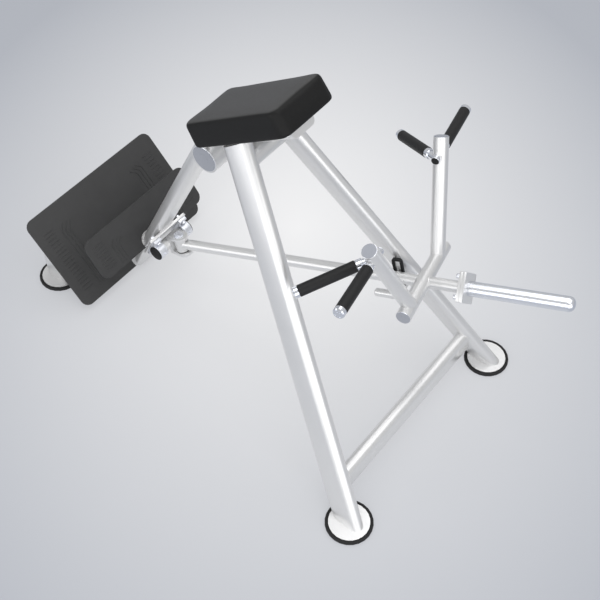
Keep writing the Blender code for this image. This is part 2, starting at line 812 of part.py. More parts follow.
def pivot_frame(along=0.0, across=0.0, out=0.0):
    """Frame at the shaft: X up the column, Z away from its front face."""
    place = SHAFT_CENTRE + COLUMN_ALONG * along + Vector((0, across, 0)) + COLUMN_FRONT * out
    return axes_matrix(place, COLUMN_FRONT, COLUMN_ALONG)


COLUMN_FACE = OVAL_DEPTH / 2 - (SHAFT_CENTRE - COLUMN_MIDDLE).dot(COLUMN_FRONT)
PLATE_BACK = COLUMN_FACE + GAP
PLATE_FACE = PLATE_BACK + PIVOT_PLATE_THICKNESS
BLOCK_SEAT = PLATE_FACE + GAP


def block_bolt_places():
    for name, side in SIDES:
        for level, way in (("lower", -1), ("upper", 1)):
            yield name + "_" + level, way * BLOCK_BOLT_PITCH / 2, side * BLOCK_MIDDLE


def bolt(shank_radius, head_radius, head_height, seat, end, nut_seat=None, head_sides=6):
    """A bolt along Z, its head above the seat, its shank down to the end, with a nut if one is asked for."""
    overlap = 0.001
    shank = cylinder(shank_radius, seat + overlap - end, 12)
    shank.matrix_basis = Matrix.Translation((0, 0, end))
    head = cylinder(head_radius, head_height, head_sides)
    head.matrix_basis = Matrix.Translation((0, 0, seat))
    others = [head]
    if nut_seat is not None:
        nut = cylinder(head_radius, nut_seat - end - overlap, head_sides)
        nut.matrix_basis = Matrix.Translation((0, 0, end + overlap))
        others.append(nut)
    return fuse(shank, others)


def build_pivot_plate(machine):
    plate = outline_solid([rounded_rectangle(PIVOT_PLATE_LENGTH, PIVOT_PLATE_WIDTH, 0.008)],
                          PIVOT_PLATE_THICKNESS)
    middle = (PLATE_BACK + PLATE_FACE) / 2
    finish(plate, "pivot_plate", silver_paint, machine, pivot_frame(0, 0, middle))
    blocks = {side: build_pillow_block(machine, name, side) for name, side in SIDES}
    top = BLOCK_SEAT + BLOCK_FOOT + GAP
    bottom = PLATE_BACK - GAP
    for name, along, across in block_bolt_places():
        fixing = bolt(BLOCK_BOLT_RADIUS, BLOCK_BOLT_HEAD, BLOCK_BOLT_HEAD_HEIGHT, top,
                      bottom - BLOCK_NUT_HEIGHT, bottom)
        finish(fixing, "block_bolt_" + name, zinc_steel, machine, pivot_frame(along, across))
        hole = round_hole(machine, pivot_frame(along, across, PLATE_BACK - 0.01),
                          BLOCK_BOLT_RADIUS + GAP, 0.02 + PIVOT_PLATE_THICKNESS + BLOCK_FOOT)
        cut(plate, hole)
        cut(blocks[-1 if across < 0 else 1], hole)


def block_outline():
    """Side view of a pillow block: a foot under a round housing, the shaft at the origin."""
    foot_top = BLOCK_SEAT + BLOCK_FOOT
    shoulder = math.degrees(math.asin(foot_top / BLOCK_RADIUS))
    ease = 0.003
    half = BLOCK_LENGTH / 2
    left = [(-half, foot_top - ease), (-half, BLOCK_SEAT)]
    right = [(half, BLOCK_SEAT), (half, foot_top - ease), (half - ease, foot_top)]
    return left + right + arc((0, 0), BLOCK_RADIUS, shoulder, 180 - shoulder, 2 * ROUND_STEPS) + [
        (-half + ease, foot_top)
    ]


def block_matrix(across):
    return axes_matrix(SHAFT_CENTRE + Vector((0, across, 0)), (0, 1, 0), COLUMN_ALONG)


def build_pillow_block(machine, name, side):
    bore = arc((0, 0), INSERT_RADIUS + GAP, 0, 345, 2 * ROUND_STEPS - 1)
    block = outline_solid([block_outline(), bore], BLOCK_WIDTH)
    return bevel(
        finish(block, "pillow_block_" + name, zinc_steel, machine, block_matrix(side * BLOCK_MIDDLE)), 0.0012, 1
    )


def build_bearings(machine):
    seat = BLOCK_WIDTH / 2 + GAP
    face = seat + BEARING_CAP_DEPTH
    profile = [
        (0, face),
        (BEARING_CAP_RADIUS * 0.7, face),
        (BEARING_CAP_RADIUS, seat + BEARING_CAP_DEPTH / 2),
        (BEARING_CAP_RADIUS, seat),
        (0, seat),
    ]
    for name, side in SIDES:
        insert = turned_ring(SHAFT_RADIUS + GAP, INSERT_RADIUS, -INSERT_WIDTH / 2, INSERT_WIDTH / 2, 0.001)
        finish(insert, "bearing_insert_" + name, polished_steel, machine, block_matrix(side * BLOCK_MIDDLE))
        centre = SHAFT_CENTRE + Vector((0, side * BLOCK_MIDDLE, 0))
        place = axes_matrix(centre, (0, side, 0), COLUMN_ALONG)
        finish(turned(profile), "bearing_cap_" + name, black_rubber, machine, place)


# Yoke

YOKE_HUB_HALF = BLOCK_MIDDLE - BLOCK_WIDTH / 2 - HUB_PLAY
SHAFT_HALF = BLOCK_MIDDLE + BLOCK_WIDTH / 2 - GAP
EAR_INNER = HUB_HEIGHT / 2 + THRUST_WASHER + 2 * GAP
EAR_OUTER = EAR_INNER + EAR_THICKNESS


def build_yoke(yoke):
    shaft = cylinder(SHAFT_RADIUS, 2 * SHAFT_HALF)
    place = axes_matrix((0, -SHAFT_HALF, 0), (0, 1, 0), (1, 0, 0))
    bevel(finish(shaft, "pivot_shaft", polished_steel, yoke, place), 0.001, 1)
    hub = cylinder(YOKE_HUB_RADIUS, 2 * YOKE_HUB_HALF)
    hub.matrix_basis = axes_matrix((0, -YOKE_HUB_HALF, 0), (0, 1, 0), (1, 0, 0))
    rear = PIN_OFFSET + YOKE_REAR
    web = box((WEB_DEPTH, 2 * YOKE_HALF_WIDTH, 2 * EAR_OUTER - 0.001))
    web.matrix_basis = Matrix.Translation((PIN_OFFSET + WEB_FRONT - WEB_DEPTH / 2, 0, 0))
    outline = [(rear, YOKE_HALF_WIDTH), (rear, -YOKE_HALF_WIDTH)]
    outline += arc((PIN_OFFSET + EAR_REACH, 0), EAR_RADIUS, -90, 90, ROUND_STEPS)
    ears = []
    for way in (-1, 1):
        ear = outline_solid([outline], EAR_THICKNESS)
        ear.matrix_basis = Matrix.Translation((0, 0, way * (EAR_INNER + EAR_THICKNESS / 2)))
        ears.append(ear)
    body = fuse(hub, [web] + ears)
    finish(body, "clevis_yoke", silver_paint, yoke)
    cut(body, as_cutter(cylinder(SHAFT_RADIUS + GAP, 4 * YOKE_HUB_HALF), yoke,
                        axes_matrix((0, -2 * YOKE_HUB_HALF, 0), (0, 1, 0), (1, 0, 0))))
    cut(body, as_cutter(cylinder(CLEVIS_BOLT_RADIUS + GAP, 4 * EAR_OUTER), yoke,
                        Matrix.Translation((PIN_OFFSET, 0, -2 * EAR_OUTER))))
    build_clevis_bolt(yoke)


def build_clevis_bolt(yoke):
    top = EAR_OUTER + GAP + CLEVIS_WASHER_THICKNESS
    overlap = 0.001
    shank = cylinder(CLEVIS_BOLT_RADIUS, 2 * top + NUT_HEIGHT)
    shank.matrix_basis = Matrix.Translation((0, 0, -top - NUT_HEIGHT - GAP))
    collar = cylinder(CLEVIS_WASHER_RADIUS, CLEVIS_WASHER_THICKNESS)
    collar.matrix_basis = Matrix.Translation((0, 0, EAR_OUTER + GAP))
    head = cylinder(CLEVIS_HEAD_RADIUS, CLEVIS_HEAD_HEIGHT + overlap, 6)
    head.matrix_basis = Matrix.Translation((0, 0, top - overlap))
    pin = Matrix.Translation((PIN_OFFSET, 0, 0))
    finish(fuse(shank, [collar, head]), "clevis_bolt", zinc_steel, yoke, pin)
    bore = CLEVIS_BOLT_RADIUS + GAP
    nut = cylinder(CLEVIS_HEAD_RADIUS, NUT_HEIGHT, 6)
    nut.matrix_basis = Matrix.Translation((0, 0, -top - NUT_HEIGHT + overlap))
    washer = cylinder(CLEVIS_WASHER_RADIUS, CLEVIS_WASHER_THICKNESS)
    washer.matrix_basis = Matrix.Translation((0, 0, -EAR_OUTER - GAP - CLEVIS_WASHER_THICKNESS))
    body = finish(fuse(nut, [washer]), "clevis_nut", zinc_steel, yoke, pin)
    cut(body, as_cutter(cylinder(bore, 0.1), yoke, pin @ Matrix.Translation((0, 0, -0.1))))


# Lever and boom

BUSH_RADIUS = CLEVIS_BOLT_RADIUS + GAP + BUSH_WALL
LEVER = Bar((0, 0, 0), (LEVER_LENGTH, 0, 0), (0, 1, 0), 2 * LEVER_RADIUS, 2 * LEVER_RADIUS, LEVER_WALL)
BOOM = Bar(
    (BOOM_DISTANCE, -BOOM_HALF, BOOM_RISE), (BOOM_DISTANCE, BOOM_HALF, BOOM_RISE),
    (1, 0, 0), 2 * BOOM_RADIUS, 2 * BOOM_RADIUS, BOOM_WALL,
)


def mast_bar(side):
    """A mast's tube, its facets turned a little from the boom's."""
    return Bar(
        (BOOM_DISTANCE, side * MAST_FOOT, BOOM_RISE), (BOOM_DISTANCE, side * MAST_TOP, BOOM_RISE + MAST_HEIGHT),
        (1, side * 0.12, 0), 2 * BOOM_RADIUS, 2 * BOOM_RADIUS, BOOM_WALL,
    )


def build_lever_hub(lever):
    hub = turned_ring(BUSH_RADIUS + GAP, HUB_RADIUS, -HUB_HEIGHT / 2, HUB_HEIGHT / 2, 0.001)
    finish(hub, "lever_hub", silver_paint, lever)
    bore = CLEVIS_BOLT_RADIUS + GAP
    seat = HUB_HEIGHT / 2 + GAP
    profile = [
        (bore, seat + THRUST_WASHER),
        (HUB_RADIUS, seat + THRUST_WASHER),
        (HUB_RADIUS, seat),
        (BUSH_RADIUS, seat),
        (BUSH_RADIUS, GAP),
        (bore, GAP),
    ]
    for name, turn_over in (("upper", 0), ("lower", HALF_TURN)):
        place = Matrix.Rotation(turn_over, 4, "X")
        finish(turned_loop(profile), "hub_bush_" + name, black_nylon, lever, place)


def build_lever_tube(lever):
    tube = finish(LEVER.tube(), "lever_tube", silver_paint, lever, LEVER.matrix)
    hub = cylinder(HUB_RADIUS + GAP, HUB_HEIGHT + 2 * GAP)
    cut(tube, as_cutter(hub, lever, Matrix.Translation((0, 0, -HUB_HEIGHT / 2 - GAP))))


def build_boom(lever):
    boom = finish(BOOM.closed_tube(lever, both=True), "boom", silver_paint, lever, BOOM.matrix)
    cut(boom, LEVER.envelope(lever))
    boom_shape = BOOM.envelope(lever)
    for name, side in SIDES:
        bar = mast_bar(side)
        mast = finish(bar.closed_tube(lever), "mast_" + name, silver_paint, lever, bar.matrix)
        cut(mast, boom_shape)
        cut(mast, side_bar_shape(lever, side))


def side_bar_matrix(side):
    start = (SIDE_BAR_FORE, side * SIDE_BAR_INNER, SIDE_BAR_HEIGHT)
    out = (0, side * math.cos(SIDE_BAR_TILT), math.sin(SIDE_BAR_TILT))
    return axes_matrix(start, out, (1, 0, 0))


def side_bar_shape(lever, side):
    length = SIDE_GRIP_START - SIDE_BAR_INNER
    return as_cutter(cylinder(GRIP_CORE_RADIUS + GAP, length), lever, side_bar_matrix(side))


def rear_bar_matrix(side):
    start = Vector((REAR_BAR_START.x, side * REAR_BAR_START.y, REAR_BAR_START.z))
    reach = Vector((REAR_BAR_REACH.x, side * REAR_BAR_REACH.y, REAR_BAR_REACH.z))
    return axes_matrix(start, reach, (0, 0, 1))


def handle_bar(length, grip_start, collar_length):
    """A round bar along Z with a collar just before its grip and a knob that ends it."""
    knob = length - GRIP_END_LENGTH
    collar_top = grip_start - GAP
    ease = 0.0015
    return turned([
        (0, length),
        (GRIP_RADIUS - 2 * ease, length),
        (GRIP_RADIUS, length - 2 * ease),
        (GRIP_RADIUS, knob),
        (GRIP_CORE_RADIUS, knob),
        (GRIP_CORE_RADIUS, collar_top),
        (COLLAR_RADIUS - ease, collar_top),
        (COLLAR_RADIUS, collar_top - ease),
        (COLLAR_RADIUS, collar_top - collar_length + ease),
        (COLLAR_RADIUS - ease, collar_top - collar_length),
        (GRIP_CORE_RADIUS, collar_top - collar_length),
        (GRIP_CORE_RADIUS, ease),
        (GRIP_CORE_RADIUS - ease, 0),
        (0, 0),
    ])


def grip_sleeve(length, grip_start):
    return turned_ring(GRIP_CORE_RADIUS + GAP, GRIP_RADIUS, grip_start, length - GRIP_END_LENGTH - GAP, 0.0015)


def build_handles(lever):
    side_length = (SIDE_BAR_OUTER - SIDE_BAR_INNER) / math.cos(SIDE_BAR_TILT)
    side_start = (SIDE_GRIP_START - SIDE_BAR_INNER) / math.cos(SIDE_BAR_TILT)
    rear_length = REAR_BAR_REACH.length
    for name, side in SIDES:
        place = side_bar_matrix(side)
        bar = handle_bar(side_length, side_start, SIDE_COLLAR_LENGTH)
        finish(bar, "side_bar_" + name, zinc_steel, lever, place)
        finish(grip_sleeve(side_length, side_start), "side_grip_" + name, black_rubber, lever, place)
        place = rear_bar_matrix(side)
        bar = handle_bar(rear_length, REAR_GRIP_START, REAR_COLLAR_LENGTH)
        finish(bar, "rear_bar_" + name, zinc_steel, lever, place)
        cut(bar, mast_bar(side).envelope(lever))
        cut(bar, side_bar_shape(lever, side))
        finish(grip_sleeve(rear_length, REAR_GRIP_START), "rear_grip_" + name, black_rubber, lever, place)


# Flange and weight horn

PLATE_START = LEVER_LENGTH + GAP
FLANGE_START = PLATE_START + FLANGE_THICKNESS + GAP
HORN_START = FLANGE_START + FLANGE_THICKNESS


def diamond_matrix(distance):
    """Square to the lever at a distance along it, with X and Y on the square's corners' diagonals."""
    return axes_matrix((distance, 0, 0), (1, 0, 0), (0, 1, 1))


def flange_bolt_places():
    for quarter, name in enumerate(("left", "top", "right", "bottom")):
        angle = quarter * QUARTER_TURN
        yield name, FLANGE_BOLT_CIRCLE * math.cos(angle), FLANGE_BOLT_CIRCLE * math.sin(angle)


def build_weight_horn(lever):
    square = rounded_rectangle(FLANGE_SIDE, FLANGE_SIDE, 0.004, 2)
    end_plate = outline_solid([square], FLANGE_THICKNESS)
    finish(end_plate, "lever_end_plate", silver_paint, lever, diamond_matrix(PLATE_START + FLANGE_THICKNESS / 2))
    flange = outline_solid([square], FLANGE_THICKNESS)
    flange.matrix_basis = diamond_matrix(FLANGE_START + FLANGE_THICKNESS / 2)
    overlap = 0.002
    end = HORN_LENGTH + overlap
    rod = turned([
        (0, end),
        (HORN_RADIUS - HORN_CHAMFER, end),
        (HORN_RADIUS - HORN_CHAMFER * 0.3, end - HORN_CHAMFER * 0.3),
        (HORN_RADIUS, end - HORN_CHAMFER),
        (HORN_RADIUS, 0),
        (0, 0),
    ])
    rod.matrix_basis = axes_matrix((HORN_START - overlap, 0, 0), (1, 0, 0), (0, 1, 0))
    horn = finish(fuse(flange, [rod]), "weight_horn", polished_steel, lever)
    for name, across, up in flange_bolt_places():
        seat = PLATE_START - GAP
        reach = 2 * FLANGE_THICKNESS - 0.001
        fixing = bolt(FLANGE_BOLT_RADIUS, FLANGE_BOLT_HEAD, FLANGE_BOLT_HEAD_HEIGHT, 0, -reach, None, 12)
        place = axes_matrix((seat, across, up), (-1, 0, 0), (0, 1, 0))
        finish(fixing, "flange_bolt_" + name, zinc_steel, lever, place)
        hole = round_hole(lever, place @ Matrix.Translation((0, 0, -reach - 2 * GAP)),
                          FLANGE_BOLT_RADIUS + GAP, reach + 0.01)
        cut(end_plate, hole)
        cut(horn, hole)


# Catch on the left leg


def catch_matrix(distance):
    """Square to the parked lever, X to the left and Y up."""
    return LEVER_FRAME @ axes_matrix((distance, 0, 0), (1, 0, 0), (0, 1, 0))


def catch_strap():
    """A strap that passes under the lever and stands up as a prong between it and the leg."""
    under = CATCH_FLOOR + CATCH_PLATE
    half = CATCH_PLATE / 2
    outline = [(-CATCH_NEAR_END, -CATCH_FLOOR), (-CATCH_NEAR_END, -under), (CATCH_PRONG + CATCH_PLATE, -under)]
    outline += arc((CATCH_PRONG + half, CATCH_PRONG_TOP - half), half, 0, 180, CORNER_STEPS)
    outline += [(CATCH_PRONG, -CATCH_FLOOR)]
    strap = outline_solid([outline], CATCH_WIDTH)
    strap.matrix_basis = catch_matrix(CATCH_PLACE)
    return strap


def catch_gusset():
    """A plate from the leg to the back of the strap, with a lug for the peg."""
    under = CATCH_FLOOR + CATCH_PLATE / 2
    lug = under + 0.012
    leg_top = 0.068
    leg_bottom = 0.098
    behind = CATCH_PRONG + CATCH_PLATE / 2
    outline = [(CATCH_NEAR_END, -lug), (CATCH_NEAR_END, -under), (behind, -under), (behind, 0), (leg_top, 0)]
    outline += [(leg_bottom, -PEG_DROP - PEG_RADIUS)]
    outline += arc((0, -PEG_DROP), PEG_RADIUS, 270, 90, ROUND_STEPS)
    outline += [(0.045, -PEG_DROP + PEG_RADIUS), (0.045, -lug)]
    gusset = outline_solid([outline], CATCH_PLATE)
    gusset.matrix_basis = catch_matrix(CATCH_PLACE)
    return gusset


def build_catch(machine):
    leg_shape = LEGS[1].envelope(machine)
    length = CATCH_PLACE - PEG_END
    ease = 0.004
    flush = 0.0005
    peg = turned([
        (0, length),
        (PEG_RADIUS - flush, length),
        (PEG_RADIUS - flush, ease),
        (PEG_RADIUS - ease, 0),
        (0, 0),
    ])
    peg.matrix_basis = catch_matrix(PEG_END) @ Matrix.Translation((0, -PEG_DROP, 0))
    bracket = fuse(catch_gusset(), [catch_strap(), peg])
    cut(finish(bracket, "catch_bracket", silver_paint, machine), leg_shape)
    cut(finish(catch_rubber(), "catch_rubber", black_rubber, machine), leg_shape)
    finish(catch_pad(), "catch_pad", black_rubber, machine)


def catch_pad():
    """A rubber block under the parked lever."""
    under = CATCH_FLOOR - GAP
    seat = LEVER_RADIUS + GAP
    block = box((CATCH_PAD_NEAR + CATCH_RUBBER_FACE - GAP, under - seat, CATCH_RUBBER_NOSE - CATCH_RUBBER_TAIL))
    middle = (CATCH_RUBBER_FACE - GAP - CATCH_PAD_NEAR) / 2
    place = Matrix.Translation((middle, -(under + seat) / 2, 0))
    block.matrix_basis = catch_matrix((CATCH_RUBBER_NOSE + CATCH_RUBBER_TAIL) / 2) @ place
    return applied(bevel(block, CATCH_PAD_EASE))


def catch_rubber():
    """A frame round the prong's edge that the parked lever leans against."""
    under = CATCH_FLOOR - GAP
    width = CATCH_WIDTH + 2 * GAP + 2 * CATCH_RUBBER_SIDE
    back = CATCH_PRONG + CATCH_PLATE
    outer = rounded_rectangle(width, 2 * CATCH_RUBBER_TOP, CATCH_RUBBER_CORNER)
    frame = outline_solid([outer], back - CATCH_RUBBER_FACE)
    middle = (back + CATCH_RUBBER_FACE) / 2
    prong = box((CATCH_WIDTH + 2 * GAP, 2 * (CATCH_PRONG_TOP + GAP), 2 * CATCH_RUBBER_TOP))
    below = box((2 * CATCH_RUBBER_TOP, 2 * CATCH_RUBBER_TOP, 2 * CATCH_RUBBER_TOP))
    upright = catch_matrix(CATCH_PLACE) @ axes_matrix((middle, 0, 0), (1, 0, 0), (0, 0, 1))
    for solid in (frame, prong):
        solid.matrix_basis = upright
    below.matrix_basis = catch_matrix(CATCH_PLACE) @ Matrix.Translation((0, -under - CATCH_RUBBER_TOP, 0))
    for cutter in (prong, below):
        cut(frame, cutter)
    legs = applied(frame)
    for cutter in (prong, below):
        bpy.data.objects.remove(cutter, do_unlink=True)
    return legs


def main():
    machine = new_empty("machine", (0, FRONT_TRACK / 2, 0))
    yoke = new_empty("yoke_axis", SHAFT_CENTRE, machine)
    yoke.rotation_euler = (0, -PARKED_LIFT, 0)
    lever = new_empty("lever_axis", (PIN_OFFSET, 0, 0), yoke)
    lever.rotation_euler = (0, 0, PARKED_SWING)
    build_legs(machine)
    build_crossbars(machine)
    build_feet(machine)
    build_head_tube(machine)
    build_column(machine)
    build_rail(machine)
    build_pad_plate(machine)
    build_chest_pad(machine)
    build_base(machine)
    build_foot_plates(machine)
    build_pivot_plate(machine)
    build_bearings(machine)
    build_yoke(yoke)
    build_lever_hub(lever)
    build_lever_tube(lever)
    build_boom(lever)
    build_handles(lever)
    build_weight_horn(lever)
    build_catch(machine)
    bpy.context.view_layer.update()


main()
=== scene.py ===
"""Dresses the incline row machine for a studio picture.

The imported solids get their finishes, weld beads and end caps. The chest pad is a stuffed cushion and
the foot plates carry raised treads. Metres, +Z up, the same frame as the solids.
"""

import json
import math

import bpy
import numpy as np
from bpy.props import FloatProperty, FloatVectorProperty, PointerProperty
from bpy.types import Operator, Panel, PropertyGroup
from mathutils import Matrix, Vector

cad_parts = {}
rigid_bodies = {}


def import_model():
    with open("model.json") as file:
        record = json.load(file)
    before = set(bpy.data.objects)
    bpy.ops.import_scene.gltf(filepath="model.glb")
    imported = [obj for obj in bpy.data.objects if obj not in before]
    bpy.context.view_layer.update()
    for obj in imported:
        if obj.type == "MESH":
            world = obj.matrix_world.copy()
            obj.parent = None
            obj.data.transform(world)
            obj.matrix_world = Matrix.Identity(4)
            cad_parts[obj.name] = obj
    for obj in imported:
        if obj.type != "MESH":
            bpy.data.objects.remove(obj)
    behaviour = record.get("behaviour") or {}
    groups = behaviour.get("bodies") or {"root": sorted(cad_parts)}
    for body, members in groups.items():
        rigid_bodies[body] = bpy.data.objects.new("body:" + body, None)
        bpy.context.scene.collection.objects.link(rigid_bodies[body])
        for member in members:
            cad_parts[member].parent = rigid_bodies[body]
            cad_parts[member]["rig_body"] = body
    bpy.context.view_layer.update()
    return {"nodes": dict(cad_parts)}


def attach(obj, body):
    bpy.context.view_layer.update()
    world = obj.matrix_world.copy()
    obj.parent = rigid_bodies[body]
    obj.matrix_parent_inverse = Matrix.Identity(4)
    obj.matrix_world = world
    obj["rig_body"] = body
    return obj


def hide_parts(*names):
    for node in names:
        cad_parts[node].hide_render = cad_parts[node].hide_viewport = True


bl_info = {
    "name": "Incline Row Machine",
    "version": (1, 0, 0),
    "blender": (4, 5, 0),
    "location": "3D View > Sidebar > Row Machine",
    "description": "Finishes, welds, cushion, treads and studio of the incline row machine",
    "category": "Object",
}

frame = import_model()

SIDES = (("right", -1), ("left", 1))

# The machine's middle plane in the solids' frame
MACHINE = Matrix.Translation((0, 0.4225, 0))

# The lever's own frame: X along its tube from the clevis bolt, Z along the bolt
SHAFT_CENTRE = Vector((-1.142, 0.0, 0.238))
PIN_OFFSET = 0.054
LEVER_RISE = math.radians(15.762)
PARKED_SWING = math.radians(12.525)
LEVER = (
    MACHINE
    @ Matrix.Translation(SHAFT_CENTRE)
    @ Matrix.Rotation(-LEVER_RISE, 4, "Y")
    @ Matrix.Translation((PIN_OFFSET, 0, 0))
    @ Matrix.Rotation(PARKED_SWING, 4, "Z")
)

# The chest pad's own frame: X up its slope, Z out of its top
PAD_START = Vector((-0.8600, 0, 0.9452))
PAD_SLOPE = math.radians(34.29)
PAD = MACHINE @ Matrix.Translation(PAD_START) @ Matrix.Rotation(-PAD_SLOPE, 4, "Y")

# Chest pad: size, roundings, then the cells of its mesh and how it is stuffed
PAD_LENGTH = 0.446
PAD_WIDTH = 0.231
PAD_THICKNESS = 0.085
PAD_CORNER = 0.030
PAD_TOP_EDGE = 0.014
PAD_LOW_EDGE = 0.004
PAD_CELL = 0.005
PAD_HELD_BELOW = 0.012
PAD_PRESSURE = 4.0
PAD_FRAMES = 20
PAD_EVENING_ROUNDS = 60
PAD_CLEARANCE = 0.0006
# How far down from the pad's top the painted sheen on its cover fades out
PAD_PAINTED_SHEEN_DEPTH = 0.0045

# Foot plates: the middle of each upper edge with the plate's slope, the plates' eased edge, the ribs
PLATE_FACES = {
    "large": (Vector((-1.5696, 0, 0.3076)), math.radians(46.65)),
    "small": (Vector((-1.327, 0, 0.312)), math.radians(51.92)),
}
PLATE_EDGE = 0.0016
RIB_RADIUS = 0.0019

# Points on the left half of the lever, in the lever's frame
BOOM_END = Vector((0.966, 0.181, 0.004))
MAST_TOP = Vector((0.966, 0.291, 0.373))
MAST_FOOT = Vector((0.966, 0.123, 0.004))
SIDE_BAR_START = Vector((0.962, 0.227, 0.3205))
SIDE_BAR_TILT = math.radians(1.8)
SIDE_BAR_LENGTH = 0.2911
REAR_BAR_START = Vector((0.957, 0.251, 0.313))
REAR_BAR_REACH = Vector((-0.2037, 0.164, -0.038))

# Weight horn, along X in the lever's frame: its flange's outer face, its tip and the tip's rounding,
# how deep the rod starts inside the flange, and how far outside that face the solid is cut
HORN_START = 1.1216
HORN_END = 1.4666
HORN_RADIUS = 0.025
HORN_TIP_ROUNDING = 0.021
HORN_SINK = 0.002
FLANGE_CUT = 0.0002

# End caps: the head tube's left end, the radii, and the bright rim round each
HEAD_TUBE_END = Vector((-0.869, 0.064, 0.861))
HEAD_CAP_RADIUS = 0.0450
TUBE_CAP_RADIUS = 0.0230
BAR_PLUG_RADIUS = 0.0128
RIM_GAP = 0.0004
RIM_BEAD = 0.0011
KNOB_RADIUS = 0.0150
KNOB_RING = 0.0009
KNOB_STEPS = ((0.0032, -0.0007), (0.0045, 0.0006))

# Plates in the legs' cut tops: level of the cut in the pad's frame, thickness, fit and lift
LEG_TOP = -0.0046
LEG_PLUG_DEPTH = 0.003
LEG_PLUG_SHARE = 0.975
LEG_PLUG_LIFT = 0.0003

# Bearing housings: slope of their plate, distance from the middle, radius where the grease nipple
# sits, then the nipple's and the seal ring's own sizes
HOUSING_SLOPE = math.radians(63.94)
BEARING_SIDE = 0.067
HOUSING_RADIUS = 0.0300
NIPPLE_RADIUS = 0.0032
NIPPLE_COLLAR = 0.0022
NIPPLE_STEPS = ((0.0009, 0.0012), (0.0007, 0.0014), (0.0, 0.0008))
SEAL_INSET = 0.0172
SEAL_RADIUS = 0.0185
SEAL_BEAD = 0.0022
SEAL_FLATNESS = 0.35

# Camera
VIEW_PLACE = (0.9086, -1.4219, 3.2592)
VIEW_TILT = math.radians(38.808)
VIEW_TURN = math.radians(38.067)
VIEW_LENS = 65.50

# Floor: middle and reach of a painted pool of light on it, where that has faded, and the share that needs no
# light
FLOOR_SIZE = 90
FLOOR_LEVEL = -0.0004
FLOOR_LIGHT_POOL = (-0.95, 0.93, 0)
FLOOR_LIGHT_POOL_REACH = (1.50, 1.96, 1)
FLOOR_FADED = 1.08
FLOOR_GLOW = 0.62

# Soft panels: two side by side overhead, and a row that stands round the front
STAGE_MIDDLE = Vector((-0.6, 0.4, 0.5))
TOP_PANEL_SIZE = (6.4, 2.6)
TOP_PANEL_OVER = (0.6, 0.9, 4.2)
TOP_PANEL_SHIFT = 1.45
WALL_PANEL_SIZE = (2.9, 2.35)
WALL_PANEL_RADIUS = 4.2
WALL_PANEL_HEIGHT = 1.1
WALL_PANEL_TURNS = (-118, -82, -46, -10)

# Which nodes have which finish
SILVER = (
    "base_tube", "boom", "catch_bracket", "clevis_yoke", "column", "front_crossbar", "head_tube",
    "leg_left", "leg_right", "lever_end_plate", "lever_hub", "lever_tube", "mast_left", "mast_right",
    "pad_plate", "pad_rail", "pivot_plate", "rear_crossbar", "rear_post_left", "rear_post_right",
    "step_bracket", "upper_crossbar",
)
ZINC = (
    "block_bolt_left_lower", "block_bolt_left_upper", "block_bolt_right_lower", "block_bolt_right_upper",
    "clevis_bolt", "clevis_nut", "flange_bolt_bottom", "flange_bolt_left", "flange_bolt_right",
    "flange_bolt_top",
)
CAST = ("pillow_block_left", "pillow_block_right")
CHROME = (
    "bearing_insert_left", "bearing_insert_right", "pivot_shaft", "rear_bar_left", "rear_bar_right",
    "side_bar_left", "side_bar_right",
)
RUBBER = (
    "bearing_cap_left", "bearing_cap_right", "catch_pad", "catch_rubber", "foot_front_left",
    "foot_front_right", "foot_rear_left", "foot_rear_right",
)
GRIPS = ("rear_grip_left", "rear_grip_right", "side_grip_left", "side_grip_right")
NYLON = ("hub_bush_lower", "hub_bush_upper")
WOOD = ("pad_board",)

# How a copy of a solid is merged: points this near are one, and so are faces this flat
MERGE_DISTANCE = 0.00002
FLAT_ANGLE = math.radians(0.4)

# Nodes whose sharp edges get a small bevel, and the angle from which an edge is sharp
EASED = ZINC + CAST + RUBBER + (
    "catch_bracket", "clevis_yoke", "lever_end_plate", "pad_plate", "pivot_plate", "step_bracket",
)
EASED_ANGLE = math.radians(35)

# Pairs of nodes that are welded together, by the body that both ride on
WELDS = {
    "frame": (
        ("leg_right", "front_crossbar"), ("leg_left", "front_crossbar"), ("leg_right", "upper_crossbar"),
        ("leg_left", "upper_crossbar"), ("head_tube", "column"), ("head_tube", "pad_rail"),
        ("column", "base_tube"), ("column", "pivot_plate"), ("column", "step_bracket"),
        ("rear_crossbar", "base_tube"), ("rear_crossbar", "rear_post_right"),
        ("rear_crossbar", "rear_post_left"), ("leg_left", "catch_bracket"),
    ),
    "lever": (
        ("lever_tube", "lever_hub"), ("boom", "lever_tube"), ("boom", "mast_right"), ("boom", "mast_left"),
        ("lever_tube", "lever_end_plate"), ("mast_right", "side_bar_right"),
        ("mast_left", "side_bar_left"), ("mast_right", "rear_bar_right"), ("mast_left", "rear_bar_left"),
    ),
}


class RowMachineSizes(PropertyGroup):
    """Sizes of the dressed pieces that a user would change."""

    weld_throat: FloatProperty(
        name="Weld throat", description="How far a weld bead stands off the tubes",
        default=0.003, min=0.001, max=0.006, unit="LENGTH")
    bead_voxel: FloatProperty(
        name="Bead detail", description="Size of the cells that round a weld bead",
        default=0.0013, min=0.0008, max=0.003, unit="LENGTH")
    edge_ease: FloatProperty(
        name="Edge ease", description="Width of the small bevel on cut steel edges",
        default=0.0007, min=0.0, max=0.002, unit="LENGTH")
    tread_height: FloatProperty(
        name="Tread height", description="How far the ribs stand off the foot plates",
        default=0.0017, min=0.0003, max=0.003, unit="LENGTH")
    pad_swell: FloatProperty(
        name="Pad swell", description="The most that the stuffing pushes the pad's cover out",
        default=0.004, min=0.0, max=0.012, unit="LENGTH")
    cap_rise: FloatProperty(
        name="Cap rise", description="How far a tube's end cap stands out of the tube",
        default=0.0016, min=0.0005, max=0.004, unit="LENGTH")


